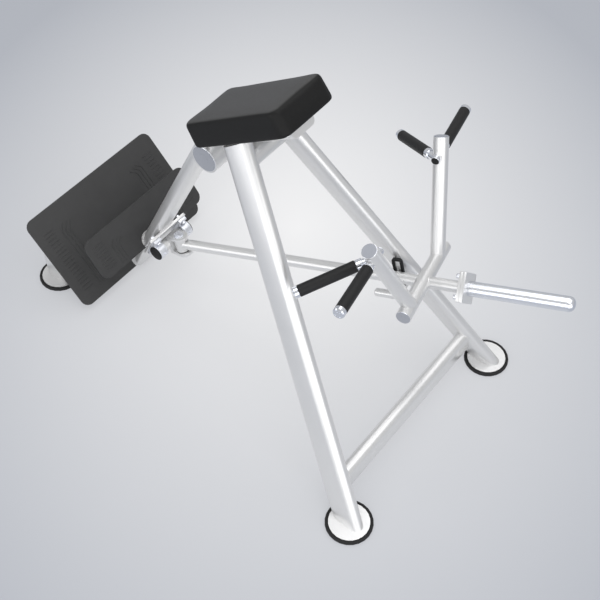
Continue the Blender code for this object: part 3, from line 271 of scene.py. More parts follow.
class RowMachineColours(PropertyGroup):
    """Colours of the finishes, as light reflected from each."""

    paint: FloatVectorProperty(
        name="Silver paint", description="Satin silver powder coat of the frame",
        default=(0.76, 0.76, 0.76), subtype="COLOR", min=0, max=1)
    steel: FloatVectorProperty(
        name="Bright steel", description="Plated horn and bars",
        default=(0.86, 0.88, 0.93), subtype="COLOR", min=0, max=1)
    # Painted shade: the caps' blue grey stands in for the silver paint of the tube ends in shade
    cap: FloatVectorProperty(
        name="End caps", description="Blue grey faces of the closed tube ends",
        default=(0.33, 0.345, 0.385), subtype="COLOR", min=0, max=1)
    rubber: FloatVectorProperty(
        name="Black rubber", description="Grips, feet and bearing caps",
        default=(0.012, 0.012, 0.0125), subtype="COLOR", min=0, max=1)
    plate: FloatVectorProperty(
        name="Foot plates", description="Charcoal rubber of the foot plates",
        default=(0.045, 0.045, 0.0455), subtype="COLOR", min=0, max=1)
    cover: FloatVectorProperty(
        name="Pad cover", description="Black synthetic leather of the chest pad",
        default=(0.009, 0.009, 0.009), subtype="COLOR", min=0, max=1)
    # Painted sheen: the cover's paler top stands in for the light that the overhead panels put on it
    cover_top_painted_sheen: FloatVectorProperty(
        name="Pad top", description="The cover's top where it is rubbed paler",
        default=(0.066, 0.066, 0.066), subtype="COLOR", min=0, max=1)
    # The floor's two colours paint a pool of light: paler under the machine, darker further out as painted
    # shade
    floor_painted_light_middle: FloatVectorProperty(
        name="Floor middle", description="Floor colour under the machine",
        default=(0.90, 0.90, 0.905), subtype="COLOR", min=0, max=1)
    floor_painted_shade_edge: FloatVectorProperty(
        name="Floor edge", description="Floor colour away from the machine",
        default=(0.46, 0.48, 0.525), subtype="COLOR", min=0, max=1)


class RowMachineStudio(PropertyGroup):
    """Strength of the studio's lights."""

    sky: FloatProperty(
        name="Room light", description="Strength of the even light from all round",
        default=0.55, min=0, max=2)
    top: FloatProperty(
        name="Top panels", description="Power of each soft panel overhead in watts",
        default=70, min=0, max=500)
    wall: FloatProperty(
        name="Wall panels", description="Power of each panel that stands round the front in watts",
        default=30, min=0, max=500)


# Materials


class Socket:
    """One output of a material's nodes, with arithmetic that adds Math nodes."""

    def __init__(self, finish, socket):
        self.finish = finish
        self.socket = socket

    def __add__(self, other):
        return self.finish.math("ADD", self, other)

    def __mul__(self, other):
        return self.finish.math("MULTIPLY", self, other)

    __radd__ = __add__
    __rmul__ = __mul__


class Finish:
    """A procedural material on the piece's own Object coordinates."""

    def __init__(self, name, **constants):
        self.material = bpy.data.materials.new(name)
        self.material.use_nodes = True
        self.tree = self.material.node_tree
        self.shader = self.tree.nodes["Principled BSDF"]
        for key, value in constants.items():
            self.set(key.replace("_", " ").title().replace("Ior", "IOR"), value)
        self.place = self.node("TexCoord", {}, {}, "Object")

    def node(self, kind, settings, inputs, output=0):
        """Adds a node, first its settings and then the values or links of its sockets."""
        made = self.tree.nodes.new("ShaderNode" + kind)
        for key, value in settings.items():
            setattr(made, key, value)
        for key, value in inputs.items():
            self.feed(made.inputs[key], value)
        return Socket(self, made.outputs[output])

    def feed(self, target, value):
        """Links a socket, or sets its value. A colour of three channels gets its alpha."""
        if isinstance(value, Socket):
            self.tree.links.new(value.socket, target)
        elif hasattr(value, "__len__") and len(value) == 3 and target.type == "RGBA":
            target.default_value = (*value, 1)
        else:
            target.default_value = value

    def set(self, name, value):
        """Feeds one input of the main shader."""
        self.feed(self.shader.inputs[name], value)

    def math(self, operation, first, second):
        """Adds a Math node on two numbers or sockets."""
        return self.node("Math", {"operation": operation}, {0: first, 1: second})

    def noise(self, scale, detail=2.0, stretch=None):
        """Noise with that many waves to a metre, drawn out along an axis if a stretch is given."""
        place = self.place
        if stretch is not None:
            place = self.node("Mapping", {}, {"Vector": place, "Scale": stretch})
        return self.node("TexNoise", {}, {"Vector": place, "Scale": scale, "Detail": detail}, "Fac")

    def pebbles(self, scale):
        """Soft round cells, that many to a metre."""
        inputs = {"Vector": self.place, "Scale": scale, "Smoothness": 0.6}
        return self.node("TexVoronoi", {"feature": "SMOOTH_F1"}, inputs, "Distance")

    def blend(self, factor, first, second):
        """A colour between two colours."""
        return self.node("Mix", {"data_type": "RGBA"}, {0: factor, 6: first, 7: second}, 2)

    def bump(self, height, distance):
        """Raises the surface by that distance where the height is 1."""
        self.set("Normal", self.node("Bump", {}, {"Height": height, "Distance": distance}))

    def glow(self, colour, share):
        """Lets the camera, and what mirrors or lets through, see part of a colour without its shading."""
        camera = self.node("LightPath", {}, {}, "Is Camera Ray")
        mirrored = self.node("LightPath", {}, {}, "Is Glossy Ray")
        let_through = self.node("LightPath", {}, {}, "Is Transmission Ray")
        plain = self.node("Emission", {}, {"Color": colour})
        shaded = Socket(self, self.shader.outputs[0])
        factor = (camera + mirrored + let_through) * share
        mixed = self.node("MixShader", {}, {0: factor, 1: shaded, 2: plain})
        self.feed(self.tree.nodes["Material Output"].inputs["Surface"], mixed)


def shade_of(colour, share):
    """A colour made darker or lighter."""
    return tuple(channel * share for channel in colour)


def silver_paint(colour):
    """Satin powder coat with a fine fleck."""
    finish = Finish("silver_paint", metallic=0.70, coat_weight=0.12, coat_roughness=0.2)
    cloud = finish.noise(9.0)
    fleck = finish.noise(2600.0, 1.0)
    tone = cloud * 0.5 + fleck * 0.5
    finish.set("Base Color", finish.blend(tone, shade_of(colour, 0.93), shade_of(colour, 1.07)))
    # At 0.245 in place of 0.29 the paint looks grainy
    finish.set("Roughness", finish.noise(60.0) * 0.06 + 0.29)
    finish.bump(finish.noise(620.0, 3.0), 0.00003)
    return finish.material


def bright_steel(name, colour, roughness, stretch):
    """Plated or polished steel with fine marks, drawn out along X where the stretch's X is under 1."""
    finish = Finish(name, metallic=1.0)
    streak = finish.noise(900.0, 3.0, stretch)
    cloud = finish.noise(14.0)
    finish.set("Base Color", finish.blend(cloud, shade_of(colour, 0.92), shade_of(colour, 1.05)))
    finish.set("Roughness", streak * 0.09 + roughness)
    finish.bump(streak, 0.00001)
    return finish.material


def cast_housing(colour):
    """Plated casting with a sandy grain."""
    finish = Finish("cast_housing", metallic=0.8, coat_weight=0.2)
    grain = finish.noise(700.0, 4.0)
    finish.set("Base Color", finish.blend(grain, shade_of(colour, 0.80), shade_of(colour, 1.05)))
    finish.set("Roughness", grain * 0.2 + 0.26)
    finish.bump(grain, 0.00022)
    return finish.material


def rubber(name, colour, grain_scale, depth, roughness):
    """Dark moulded rubber or plastic with a fine grain and a little dust."""
    finish = Finish(name, specular_ior_level=0.3)
    grain = finish.noise(grain_scale, 4.0)
    dust = finish.noise(22.0)
    tone = grain * 0.5 + dust * 0.5
    finish.set("Base Color", finish.blend(tone, shade_of(colour, 0.75), shade_of(colour, 1.3)))
    finish.set("Roughness", dust * 0.12 + roughness)
    finish.bump(grain, depth)
    return finish.material


def pad_cover(colour, painted_sheen_top_colour):
    """Pebbled cover, black on the sides, with a painted sheen that makes the flat top paler."""
    finish = Finish("pad_cover", specular_ior_level=0.19)
    pebble = finish.pebbles(420.0)
    crease = finish.noise(110.0, 3.0)
    height = pebble * 0.7 + crease * 0.3
    pad_place = {"Vector": finish.place, "Location": PAD.to_translation(), "Rotation": PAD.to_euler()}
    in_pad = finish.node("Mapping", {"vector_type": "TEXTURE"}, pad_place)
    level = finish.node("SeparateXYZ", {}, {"Vector": in_pad}, "Z")
    edge = {"Value": level, "From Min": PAD_THICKNESS - PAD_PAINTED_SHEEN_DEPTH, "From Max": PAD_THICKNESS}
    # Painted sheen: a mask that gives the cover's top a paler colour where light from above falls on it
    sheen_painted = finish.node("MapRange", {"interpolation_type": "SMOOTHSTEP"}, edge)
    grain = crease * 0.35 + pebble * 0.65
    side = finish.blend(grain, shade_of(colour, 0.7), shade_of(colour, 1.35))
    top = finish.blend(grain, shade_of(painted_sheen_top_colour, 0.72), shade_of(painted_sheen_top_colour, 1.35))
    finish.set("Base Color", finish.blend(sheen_painted, side, top))
    finish.set("Roughness", crease * 0.14 + 0.40)
    finish.bump(height, 0.0005)
    return finish.material


def end_cap_painted_shade(colour):
    """The tube ends' caps in painted shade: a darker blue grey that stands in for the silver paint in shade.
    """
    finish = Finish("end_cap_painted_shade", coat_weight=0.1)
    grain = finish.noise(480.0, 3.0)
    finish.set("Base Color", finish.blend(grain, shade_of(colour, 0.9), shade_of(colour, 1.1)))
    finish.set("Roughness", grain * 0.1 + 0.42)
    finish.bump(grain, 0.00008)
    return finish.material


def plywood():
    """Plywood of the board in the chest pad, with its grain along X."""
    finish = Finish("plywood", specular_ior_level=0.3)
    grain = finish.noise(40.0, 5.0, (1.0, 6.0, 6.0))
    finish.set("Base Color", finish.blend(grain, (0.30, 0.19, 0.09), (0.56, 0.40, 0.22)))
    finish.set("Roughness", grain * 0.2 + 0.6)
    finish.bump(grain, 0.0002)
    return finish.material


def floor_paper(middle, edge):
    """Seamless pale floor with a painted pool of light, lightest under the machine and darker further out.
    """
    finish = Finish("floor_paper", roughness=0.9, specular_ior_level=0.1)
    light_pool_place = {"Vector": finish.place, "Location": FLOOR_LIGHT_POOL, "Rotation": (0, 0, VIEW_TURN),
                  "Scale": FLOOR_LIGHT_POOL_REACH}
    spot = finish.node("Mapping", {"vector_type": "TEXTURE"}, light_pool_place)
    distance = finish.node("VectorMath", {"operation": "LENGTH"}, {0: spot}, "Value")
    fade = finish.node("MapRange", {}, {"Value": distance, "From Min": 0.0, "From Max": FLOOR_FADED})
    # Painted pool of light: the floor's colour fades from its lit middle to its shaded edge
    paper_painted_light = finish.blend(fade, middle, edge)
    finish.set("Base Color", paper_painted_light)
    finish.bump(finish.noise(300.0), 0.00002)
    finish.glow(paper_painted_light, FLOOR_GLOW)
    return finish.material


# Modelling helpers


def deselect():
    """Leaves edit mode and deselects every object."""
    if bpy.context.object is not None and bpy.context.object.mode != "OBJECT":
        bpy.ops.object.mode_set(mode="OBJECT")
    bpy.ops.object.select_all(action="DESELECT")


def choose(piece):
    """Makes a piece the only selected one and the active one."""
    deselect()
    piece.select_set(True)
    bpy.context.view_layer.objects.active = piece
    return piece


def apply_modifier(piece, kind, **settings):
    """Adds a modifier, sets it and applies it."""
    choose(piece)
    modifier = piece.modifiers.new(kind.lower(), kind)
    for key, value in settings.items():
        setattr(modifier, key, value)
    bpy.ops.object.modifier_apply(modifier=modifier.name)
    return piece


def ease_edges(piece, width, segments=2, angle=EASED_ANGLE):
    """A small bevel on every edge sharper than an angle."""
    return apply_modifier(piece, "BEVEL", width=width, segments=segments, limit_method="ANGLE",
                          angle_limit=angle)


def smooth(piece, degrees=32):
    """Smooth shading, apart from edges sharper than an angle."""
    choose(piece)
    bpy.ops.object.shade_smooth_by_angle(angle=math.radians(degrees))
    return piece


def paint(piece, material):
    """Gives a piece one material in place of those it has."""
    piece.data.materials.clear()
    piece.data.materials.append(material)
    return piece


def dress(piece, name, material, body):
    """Names a finished piece and lets it ride on its body. Without a material it keeps its own."""
    piece.name = name
    piece.data.name = name
    if material is not None:
        paint(piece, material)
    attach(piece, body)
    return piece


def merged_copy(node):
    """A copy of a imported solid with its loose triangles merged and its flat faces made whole."""
    source = frame["nodes"][node]
    copy = bpy.data.objects.new(node + "_shape", source.data.copy())
    bpy.context.scene.collection.objects.link(copy)
    choose(copy)
    bpy.ops.mesh.customdata_custom_splitnormals_clear()
    bpy.ops.object.mode_set(mode="EDIT")
    bpy.ops.mesh.select_all(action="SELECT")
    bpy.ops.mesh.remove_doubles(threshold=MERGE_DISTANCE)
    bpy.ops.mesh.dissolve_limited(angle_limit=FLAT_ANGLE)
    bpy.ops.object.mode_set(mode="OBJECT")
    return copy


def place(piece, matrix):
    """Puts a piece modelled round the origin into place, with its place in its mesh."""
    choose(piece)
    piece.matrix_world = matrix
    bpy.ops.object.transform_apply(location=True, rotation=True, scale=True)
    return piece


def pointing(origin, direction, across=(0, 0, 1)):
    """A frame whose Z runs along a direction and whose X is as near as can be to another one."""
    z = Vector(direction).normalized()
    x = (Vector(across) - Vector(across).dot(z) * z).normalized()
    matrix = Matrix((x, z.cross(x), z)).transposed().to_4x4()
    matrix.translation = Vector(origin)
    return matrix


def on_side(point, side):
    """A point of the left half, or the same point on the right where side is -1."""
    return Vector((point.x, side * point.y, point.z))


def select_faces(piece, test):
    """In edit mode, selects only the faces whose middle and normal pass a test."""
    bpy.ops.mesh.select_all(action="DESELECT")
    bpy.ops.object.mode_set(mode="OBJECT")
    for polygon in piece.data.polygons:
        polygon.select = test(polygon.center, polygon.normal)
    bpy.ops.object.mode_set(mode="EDIT")


def select_edges(piece, test):
    """In edit mode, selects only the edges whose two ends pass a test."""
    bpy.ops.mesh.select_all(action="DESELECT")
    bpy.ops.object.mode_set(mode="OBJECT")
    points = piece.data.vertices
    for edge in piece.data.edges:
        first, second = edge.vertices
        edge.select = test(points[first].co, points[second].co)
    bpy.ops.object.mode_set(mode="EDIT")


def turned_stack(radius, height, steps, segments=48):
    """A round piece: a cylinder whose top face is stepped by (inset, rise) pairs."""
    deselect()
    bpy.ops.mesh.primitive_cylinder_add(vertices=segments, radius=radius, depth=height,
                                        location=(0, 0, height / 2))
    piece = bpy.context.object
    bpy.ops.object.transform_apply(location=True, rotation=True, scale=True)
    bpy.ops.object.mode_set(mode="EDIT")
    bpy.ops.mesh.select_mode(type="FACE")
    top = height
    for inset, rise in steps:
        select_faces(piece, lambda middle, normal, level=top: normal.z > 0.9
                     and abs(middle.z - level) < 1e-5 and middle.xy.length < 1e-4)
        if inset > 0:
            bpy.ops.mesh.inset(thickness=inset, depth=0)
        if rise != 0:
            bpy.ops.mesh.extrude_region_move(TRANSFORM_OT_translate={"value": (0, 0, rise)})
        top += rise
    bpy.ops.object.mode_set(mode="OBJECT")
    return piece


def ring(radius, bead, segments, bead_segments):
    """A ring round the Z axis."""
    deselect()
    bpy.ops.mesh.primitive_torus_add(major_radius=radius, minor_radius=bead, major_segments=segments,
                                     minor_segments=bead_segments)
    return bpy.context.object


def join(pieces):
    """Makes several pieces one, the first of them."""
    choose(pieces[0])
    for piece in pieces[1:]:
        piece.select_set(True)
    bpy.ops.object.join()
    return bpy.context.object


# Pieces


class ROWMACHINE_OT_finishes(Operator):
    """Smooth copies of the solids that keep their form, each with its finish"""

    bl_idname = "row_machine.finishes"
    bl_label = "Metal and rubber"

    def execute(self, context):
        sizes = context.scene.row_machine_sizes
        colours = context.scene.row_machine_colours
        black = colours.rubber
        even = (1.0, 1.0, 1.0)
        drawn = (0.3, 1.0, 1.0)
        groups = (
            (SILVER, silver_paint(colours.paint)),
            (ZINC, bright_steel("zinc_plate", colours.steel, roughness=0.2, stretch=even)),
            (CAST, cast_housing(colours.steel)),
            (CHROME, bright_steel("bright_bar", colours.steel, roughness=0.12, stretch=drawn)),
            (RUBBER, rubber("moulded_rubber", black, grain_scale=500.0, depth=0.00015, roughness=0.55)),
            (GRIPS, rubber("grip_rubber", black, grain_scale=900.0, depth=0.00025, roughness=0.42)),
            (NYLON, rubber("black_nylon", black, grain_scale=300.0, depth=0.00004, roughness=0.35)),
            (WOOD, plywood()),
        )
        for nodes, material in groups:
            for node in nodes:
                piece = merged_copy(node)
                if node in EASED:
                    ease_edges(piece, sizes.edge_ease)
                smooth(piece)
                body = frame["nodes"][node]["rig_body"]
                dress(piece, node + "_finished", material, body)
                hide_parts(node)
        return {"FINISHED"}


class ROWMACHINE_OT_weight_horn(Operator):
    """The polished horn with its rounded tip, and the square flange it is welded to"""

    bl_idname = "row_machine.weight_horn"
    bl_label = "Weight horn"

    def execute(self, context):
        sizes = context.scene.row_machine_sizes
        steel = context.scene.row_machine_colours.steel
        flange = self.flange(sizes.edge_ease)
        rod = self.rod()
        paint(rod, bright_steel("polished_horn", steel, roughness=0.19, stretch=(0.05, 1.0, 1.0)))
        whole = join([flange, rod])
        smooth(whole, 35)
        dress(whole, "weight_horn_finished", None, "lever")
        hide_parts("weight_horn")
        return {"FINISHED"}

    def rod(self):
        rod = turned_stack(HORN_RADIUS, HORN_END - HORN_START + HORN_SINK, (), 96)
        bpy.ops.object.mode_set(mode="EDIT")
        select_faces(rod, lambda middle, normal: normal.z > 0.9)
        bpy.ops.mesh.bevel(offset=HORN_TIP_ROUNDING, segments=14, affect="EDGES")
        bpy.ops.object.mode_set(mode="OBJECT")
        return place(rod, LEVER @ pointing((HORN_START - HORN_SINK, 0, 0), (1, 0, 0)))

    def flange(self, ease):
        """The solid without its rod."""
        flange = merged_copy("weight_horn")
        cut = LEVER @ Vector((HORN_START + FLANGE_CUT, 0, 0))
        along = LEVER.to_3x3() @ Vector((1, 0, 0))
        bpy.ops.object.mode_set(mode="EDIT")
        bpy.ops.mesh.select_all(action="SELECT")
        bpy.ops.mesh.bisect(plane_co=cut, plane_no=along, use_fill=True, clear_outer=True, threshold=0.00001)
        bpy.ops.object.mode_set(mode="OBJECT")
        ease_edges(flange, ease)
        return paint(flange, bpy.data.materials["silver_paint"])


class ROWMACHINE_OT_welds(Operator):
    """A rounded weld bead round each joint between two tubes"""

    bl_idname = "row_machine.welds"
    bl_label = "Weld beads"

    def execute(self, context):
        sizes = context.scene.row_machine_sizes
        material = bpy.data.materials["silver_paint"]
        for body, pairs in WELDS.items():
            for first, second in pairs:
                bead = self.bead(first, second, sizes)
                dress(bead, "weld_" + first + "_" + second, material, body)
        return {"FINISHED"}

    def bead(self, first, second, sizes):
        """What the two solids share once both have swollen, rounded off."""
        bead = self.swollen(first, sizes.weld_throat)
        other = self.swollen(second, sizes.weld_throat)
        apply_modifier(bead, "BOOLEAN", operation="INTERSECT", solver="EXACT", object=other)
        bpy.data.objects.remove(other, do_unlink=True)
        if not bead.data.polygons:
            raise RuntimeError(f"{first} and {second} don't meet, so they have no weld")
        apply_modifier(bead, "REMESH", mode="VOXEL", voxel_size=sizes.bead_voxel)
        apply_modifier(bead, "SMOOTH", factor=0.5, iterations=3)
        return smooth(bead, 80)

    def swollen(self, node, by):
        """A copy of a solid whose surface is moved outwards."""
        return apply_modifier(merged_copy(node), "DISPLACE", strength=by, mid_level=0.0)


class ROWMACHINE_OT_chest_pad(Operator):
    """The chest pad as a stuffed cushion under a tight cover"""

    bl_idname = "row_machine.chest_pad"
    bl_label = "Chest pad"

    def execute(self, context):
        sizes = context.scene.row_machine_sizes
        colours = context.scene.row_machine_colours
        cushion = self.blank()
        apply_modifier(cushion, "REMESH", mode="VOXEL", voxel_size=PAD_CELL)
        self.stuff(cushion, sizes.pad_swell)
        apply_modifier(cushion, "SMOOTH", factor=0.5, iterations=4)
        apply_modifier(cushion, "SUBSURF", levels=1, render_levels=1)
        self.level(cushion)
        place(cushion, PAD)
        smooth(cushion, 60)
        material = pad_cover(colours.cover, colours.cover_top_painted_sheen)
        dress(cushion, "chest_pad_cushion", material, "frame")
        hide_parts("chest_pad")
        return {"FINISHED"}

    def blank(self):
        """The cover before it is stuffed: a block with eased edges, rounder above than below."""
        deselect()
        bpy.ops.mesh.primitive_cube_add(size=1)
        block = bpy.context.object
        block.scale = (PAD_LENGTH, PAD_WIDTH, PAD_THICKNESS)
        block.location = (PAD_LENGTH / 2, 0, PAD_THICKNESS / 2)
        bpy.ops.object.transform_apply(location=True, rotation=True, scale=True)
        bpy.ops.object.mode_set(mode="EDIT")
        bpy.ops.mesh.select_mode(type="EDGE")
        # The upright edges first, then those round the top, then those round the underside
        for edges, width, segments in (
            (lambda a, b: abs(a.z - b.z) > 0.01, PAD_CORNER, 6),
            (lambda a, b: min(a.z, b.z) > PAD_THICKNESS - 0.001, PAD_TOP_EDGE, 6),
            (lambda a, b: max(a.z, b.z) < 0.001, PAD_LOW_EDGE, 3),
        ):
            select_edges(block, edges)
            bpy.ops.mesh.bevel(offset=width, segments=segments, affect="EDGES")
        bpy.ops.object.mode_set(mode="OBJECT")
        return block

    def stuff(self, cushion, most):
        """Lets a cloth simulation press the cover out, no further than a set distance."""
        before = [vertex.co.copy() for vertex in cushion.data.vertices]
        held = cushion.vertex_groups.new(name="held")
        low = [i for i, point in enumerate(before) if point.z < PAD_HELD_BELOW]
        held.add(low, 1.0, "REPLACE")
        choose(cushion)
        cloth = cushion.modifiers.new("cloth", "CLOTH")
        cloth.settings.use_pressure = True
        cloth.settings.uniform_pressure_force = PAD_PRESSURE
        cloth.settings.vertex_group_mass = held.name
        cloth.settings.effector_weights.gravity = 0.0
        for number in range(1, PAD_FRAMES + 1):
            bpy.context.scene.frame_set(number)
        bpy.ops.object.modifier_apply(modifier=cloth.name)
        bpy.context.scene.frame_set(1)
        steps = [vertex.co - start for vertex, start in zip(cushion.data.vertices, before)]
        steps = [step * min(1, most / max(step.length, 1e-9)) for step in steps]
        steps = self.evened(cushion, steps)
        for vertex, start, step in zip(cushion.data.vertices, before, steps):
            vertex.co = start + step

    def evened(self, cushion, steps):
        """Spreads the moves over their neighbours, as a thick foam does, so that no wrinkle is left."""
        moves = np.array([tuple(step) for step in steps])
        pairs = np.array([tuple(edge.vertices) for edge in cushion.data.edges])
        count = np.zeros(len(moves))
        np.add.at(count, pairs.ravel(), 1)
        for _ in range(PAD_EVENING_ROUNDS):
            total = np.zeros_like(moves)
            np.add.at(total, pairs[:, 0], moves[pairs[:, 1]])
            np.add.at(total, pairs[:, 1], moves[pairs[:, 0]])
            moves = 0.5 * moves + 0.5 * total / count[:, None]
        return [Vector(move) for move in moves]

    def level(self, cushion):
        """Keeps the cover's underside flat and just clear of what it rests on."""
        for vertex in cushion.data.vertices:
            vertex.co.z = max(vertex.co.z, PAD_CLEARANCE)


class ROWMACHINE_OT_foot_plates(Operator):
    """The foot plates with their raised treads"""

    bl_idname = "row_machine.foot_plates"
    bl_label = "Foot plates"

    def execute(self, context):
        sizes = context.scene.row_machine_sizes
        colour = context.scene.row_machine_colours.plate
        material = rubber("plate_rubber", colour, grain_scale=700.0, depth=0.0002, roughness=0.56)
        treads = {
            "large": self.lines(places=(0.218, 0.202, 0.186), low=0.350, high=0.104, bend=0.024)
            + self.ridges(inner=0.246, outer=0.289, high=0.076, low=0.346, pitch=0.0150),
            "small": self.lines(places=(0.168, 0.152, 0.136), low=0.148, high=0.076, bend=0.020)
            + self.ridges(inner=0.192, outer=0.240, high=0.036, low=0.146, pitch=0.0138),
        }
        for name, paths in treads.items():
            node = "foot_plate_" + name
            plate = merged_copy(node)
            ease_edges(plate, PLATE_EDGE, segments=3, angle=math.radians(50))
            ribs = self.ribs(paths, sizes.tread_height)
            top, slope = PLATE_FACES[name]
            up = Vector((-math.cos(slope), 0, math.sin(slope)))
            out = Vector((math.sin(slope), 0, math.cos(slope)))
            place(ribs, MACHINE @ pointing(top, out, up))
            whole = join([plate, ribs])
            smooth(whole, 40)
            dress(whole, node + "_ribbed", material, "frame")
            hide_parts(node)
        return {"FINISHED"}

    def lines(self, places, low, high, bend):
        """Nested ribs that run up the plate and lean inwards at their tops, on both sides."""
        paths = []
        for number, across in enumerate(places):
            turn = high + 0.005 * number
            for side in (-1, 1):
                paths.append((
                    (-low, side * across),
                    (-turn, side * across),
                    (-turn + bend * 0.35, side * (across - bend * 0.22)),
                    (-turn + bend, side * (across - bend)),
                ))
        return paths

    def ridges(self, inner, outer, high, low, pitch):
        """Rows of short ribs across the plate's outer ends."""
        paths = []
        for number in range(int((low - high) / pitch) + 1):
            down = -high - number * pitch
            for side in (-1, 1):
                paths.append(((down, side * inner), (down, side * outer)))
        return paths

    def ribs(self, paths, height):
        """All ribs of a plate as round beads that stand up to a height above Z = 0."""
        curve = bpy.data.curves.new("ribs", "CURVE")
        curve.dimensions = "3D"
        curve.bevel_depth = RIB_RADIUS
        curve.bevel_resolution = 2
        curve.use_fill_caps = True
        for path in paths:
            spline = curve.splines.new("POLY")
            spline.points.add(len(path) - 1)
            for point, (up, across) in zip(spline.points, path):
                point.co = (up, across, height - RIB_RADIUS, 1)
        piece = bpy.data.objects.new("ribs", curve)
        bpy.context.scene.collection.objects.link(piece)
        choose(piece)
        bpy.ops.object.convert(target="MESH")
        return bpy.context.object


class ROWMACHINE_OT_end_caps(Operator):
    """Caps on the round tubes' ends, plugs in the side bars and the legs, dished ends of the grips"""

    bl_idname = "row_machine.end_caps"
    bl_label = "End caps"

    def execute(self, context):
        rise = context.scene.row_machine_sizes.cap_rise
        # Painted shade on the caps of the round tubes
        face = end_cap_painted_shade(context.scene.row_machine_colours.cap)
        black = bpy.data.materials["moulded_rubber"]
        for name, side in SIDES:
            outwards = Vector((0, side, 0))
            self.leg_plug("leg_" + name)
            head = MACHINE @ pointing(on_side(HEAD_TUBE_END, side), outwards)
            self.cap("head_tube_cap_" + name, head, HEAD_CAP_RADIUS, rise, face, "frame", "head_tube")
            boom = LEVER @ pointing(on_side(BOOM_END, side), outwards)
            self.cap("boom_cap_" + name, boom, TUBE_CAP_RADIUS, rise, face, "lever", "boom")
            top = on_side(MAST_TOP, side)
            mast = LEVER @ pointing(top, top - on_side(MAST_FOOT, side))
            self.cap("mast_cap_" + name, mast, TUBE_CAP_RADIUS, rise, face, "lever", "mast_" + name)
            start = on_side(SIDE_BAR_START, side)
            along = Vector((0, side * math.cos(SIDE_BAR_TILT), math.sin(SIDE_BAR_TILT)))
            inner = LEVER @ pointing(start, -along)
            self.cap("side_bar_plug_" + name, inner, BAR_PLUG_RADIUS, rise, black, "lever",
                     "side_grip_" + name)
            self.dished_end("side_bar_end_" + name, start + along * SIDE_BAR_LENGTH, along)
            reach = on_side(REAR_BAR_REACH, side)
            self.dished_end("rear_bar_end_" + name, on_side(REAR_BAR_START, side) + reach, reach)
        return {"FINISHED"}

    def cap(self, name, matrix, radius, rise, material, body, slot):
        """A disc with a small step at its edge and a low boss, inside a bright rim."""
        disc = turned_stack(radius, rise, ((rise * 0.6, rise * 0.35), (radius * 0.55, rise * 0.2)))
        paint(disc, material)
        rim = paint(ring(radius + RIM_GAP, RIM_BEAD, 64, 8), bpy.data.materials["bright_bar"])
        piece = join([disc, rim])
        place(piece, matrix)
        smooth(piece, 40)
        dress(piece, name, None, body)

    def dished_end(self, name, middle, outwards):
        """The turned ring and hollow in the end of a grip's knob."""
        piece = turned_stack(KNOB_RADIUS, KNOB_RING, KNOB_STEPS)
        place(piece, LEVER @ pointing(middle, outwards))
        smooth(piece, 40)
        dress(piece, name, bpy.data.materials["bright_bar"], "lever")

    def leg_plug(self, leg):
        """Closes the leg's cut top with a plate that follows the tube's section."""
        plug = merged_copy(leg)
        cut = PAD @ Vector((0, 0, LEG_TOP - LEG_PLUG_DEPTH))
        up = PAD.to_3x3() @ Vector((0, 0, 1))
        bpy.ops.object.mode_set(mode="EDIT")
        bpy.ops.mesh.select_all(action="SELECT")
        bpy.ops.mesh.bisect(plane_co=cut, plane_no=up, clear_inner=True)
        bpy.ops.mesh.select_all(action="SELECT")
        bpy.ops.mesh.convex_hull()
        bpy.ops.transform.resize(value=(LEG_PLUG_SHARE, LEG_PLUG_SHARE, 1.0))
        bpy.ops.transform.translate(value=up * LEG_PLUG_LIFT)
        bpy.ops.object.mode_set(mode="OBJECT")
        smooth(plug, 30)
        dress(plug, leg + "_plug", bpy.data.materials["silver_paint"], "frame")


class ROWMACHINE_OT_fittings(Operator):
    """Grease nipples and seal rings on the bearing housings"""

    bl_idname = "row_machine.fittings"
    bl_label = "Bearing fittings"

    def execute(self, context):
        zinc = bpy.data.materials["zinc_plate"]
        black = bpy.data.materials["moulded_rubber"]
        outwards = Vector((math.sin(HOUSING_SLOPE), 0, -math.cos(HOUSING_SLOPE)))
        along = Vector((math.cos(HOUSING_SLOPE), 0, math.sin(HOUSING_SLOPE)))
        way = (outwards * 0.8 + along * 0.6).normalized()
        for name, side in SIDES:
            middle = SHAFT_CENTRE + Vector((0, side * BEARING_SIDE, 0))
            nipple = turned_stack(NIPPLE_RADIUS, NIPPLE_COLLAR, NIPPLE_STEPS, 24)
            place(nipple, MACHINE @ pointing(middle + way * HOUSING_RADIUS, way, (0, 1, 0)))
            smooth(nipple)
            dress(nipple, "grease_nipple_" + name, zinc, "frame")
            inner = middle - Vector((0, side * SEAL_INSET, 0))
            seal = ring(SEAL_RADIUS, SEAL_BEAD, 48, 10)
            bpy.ops.object.mode_set(mode="EDIT")
            bpy.ops.transform.resize(value=(1, 1, SEAL_FLATNESS))
            bpy.ops.object.mode_set(mode="OBJECT")
            place(seal, MACHINE @ pointing(inner, (0, side, 0)))
            smooth(seal, 60)
            dress(seal, "bearing_seal_" + name, black, "frame")
        return {"FINISHED"}


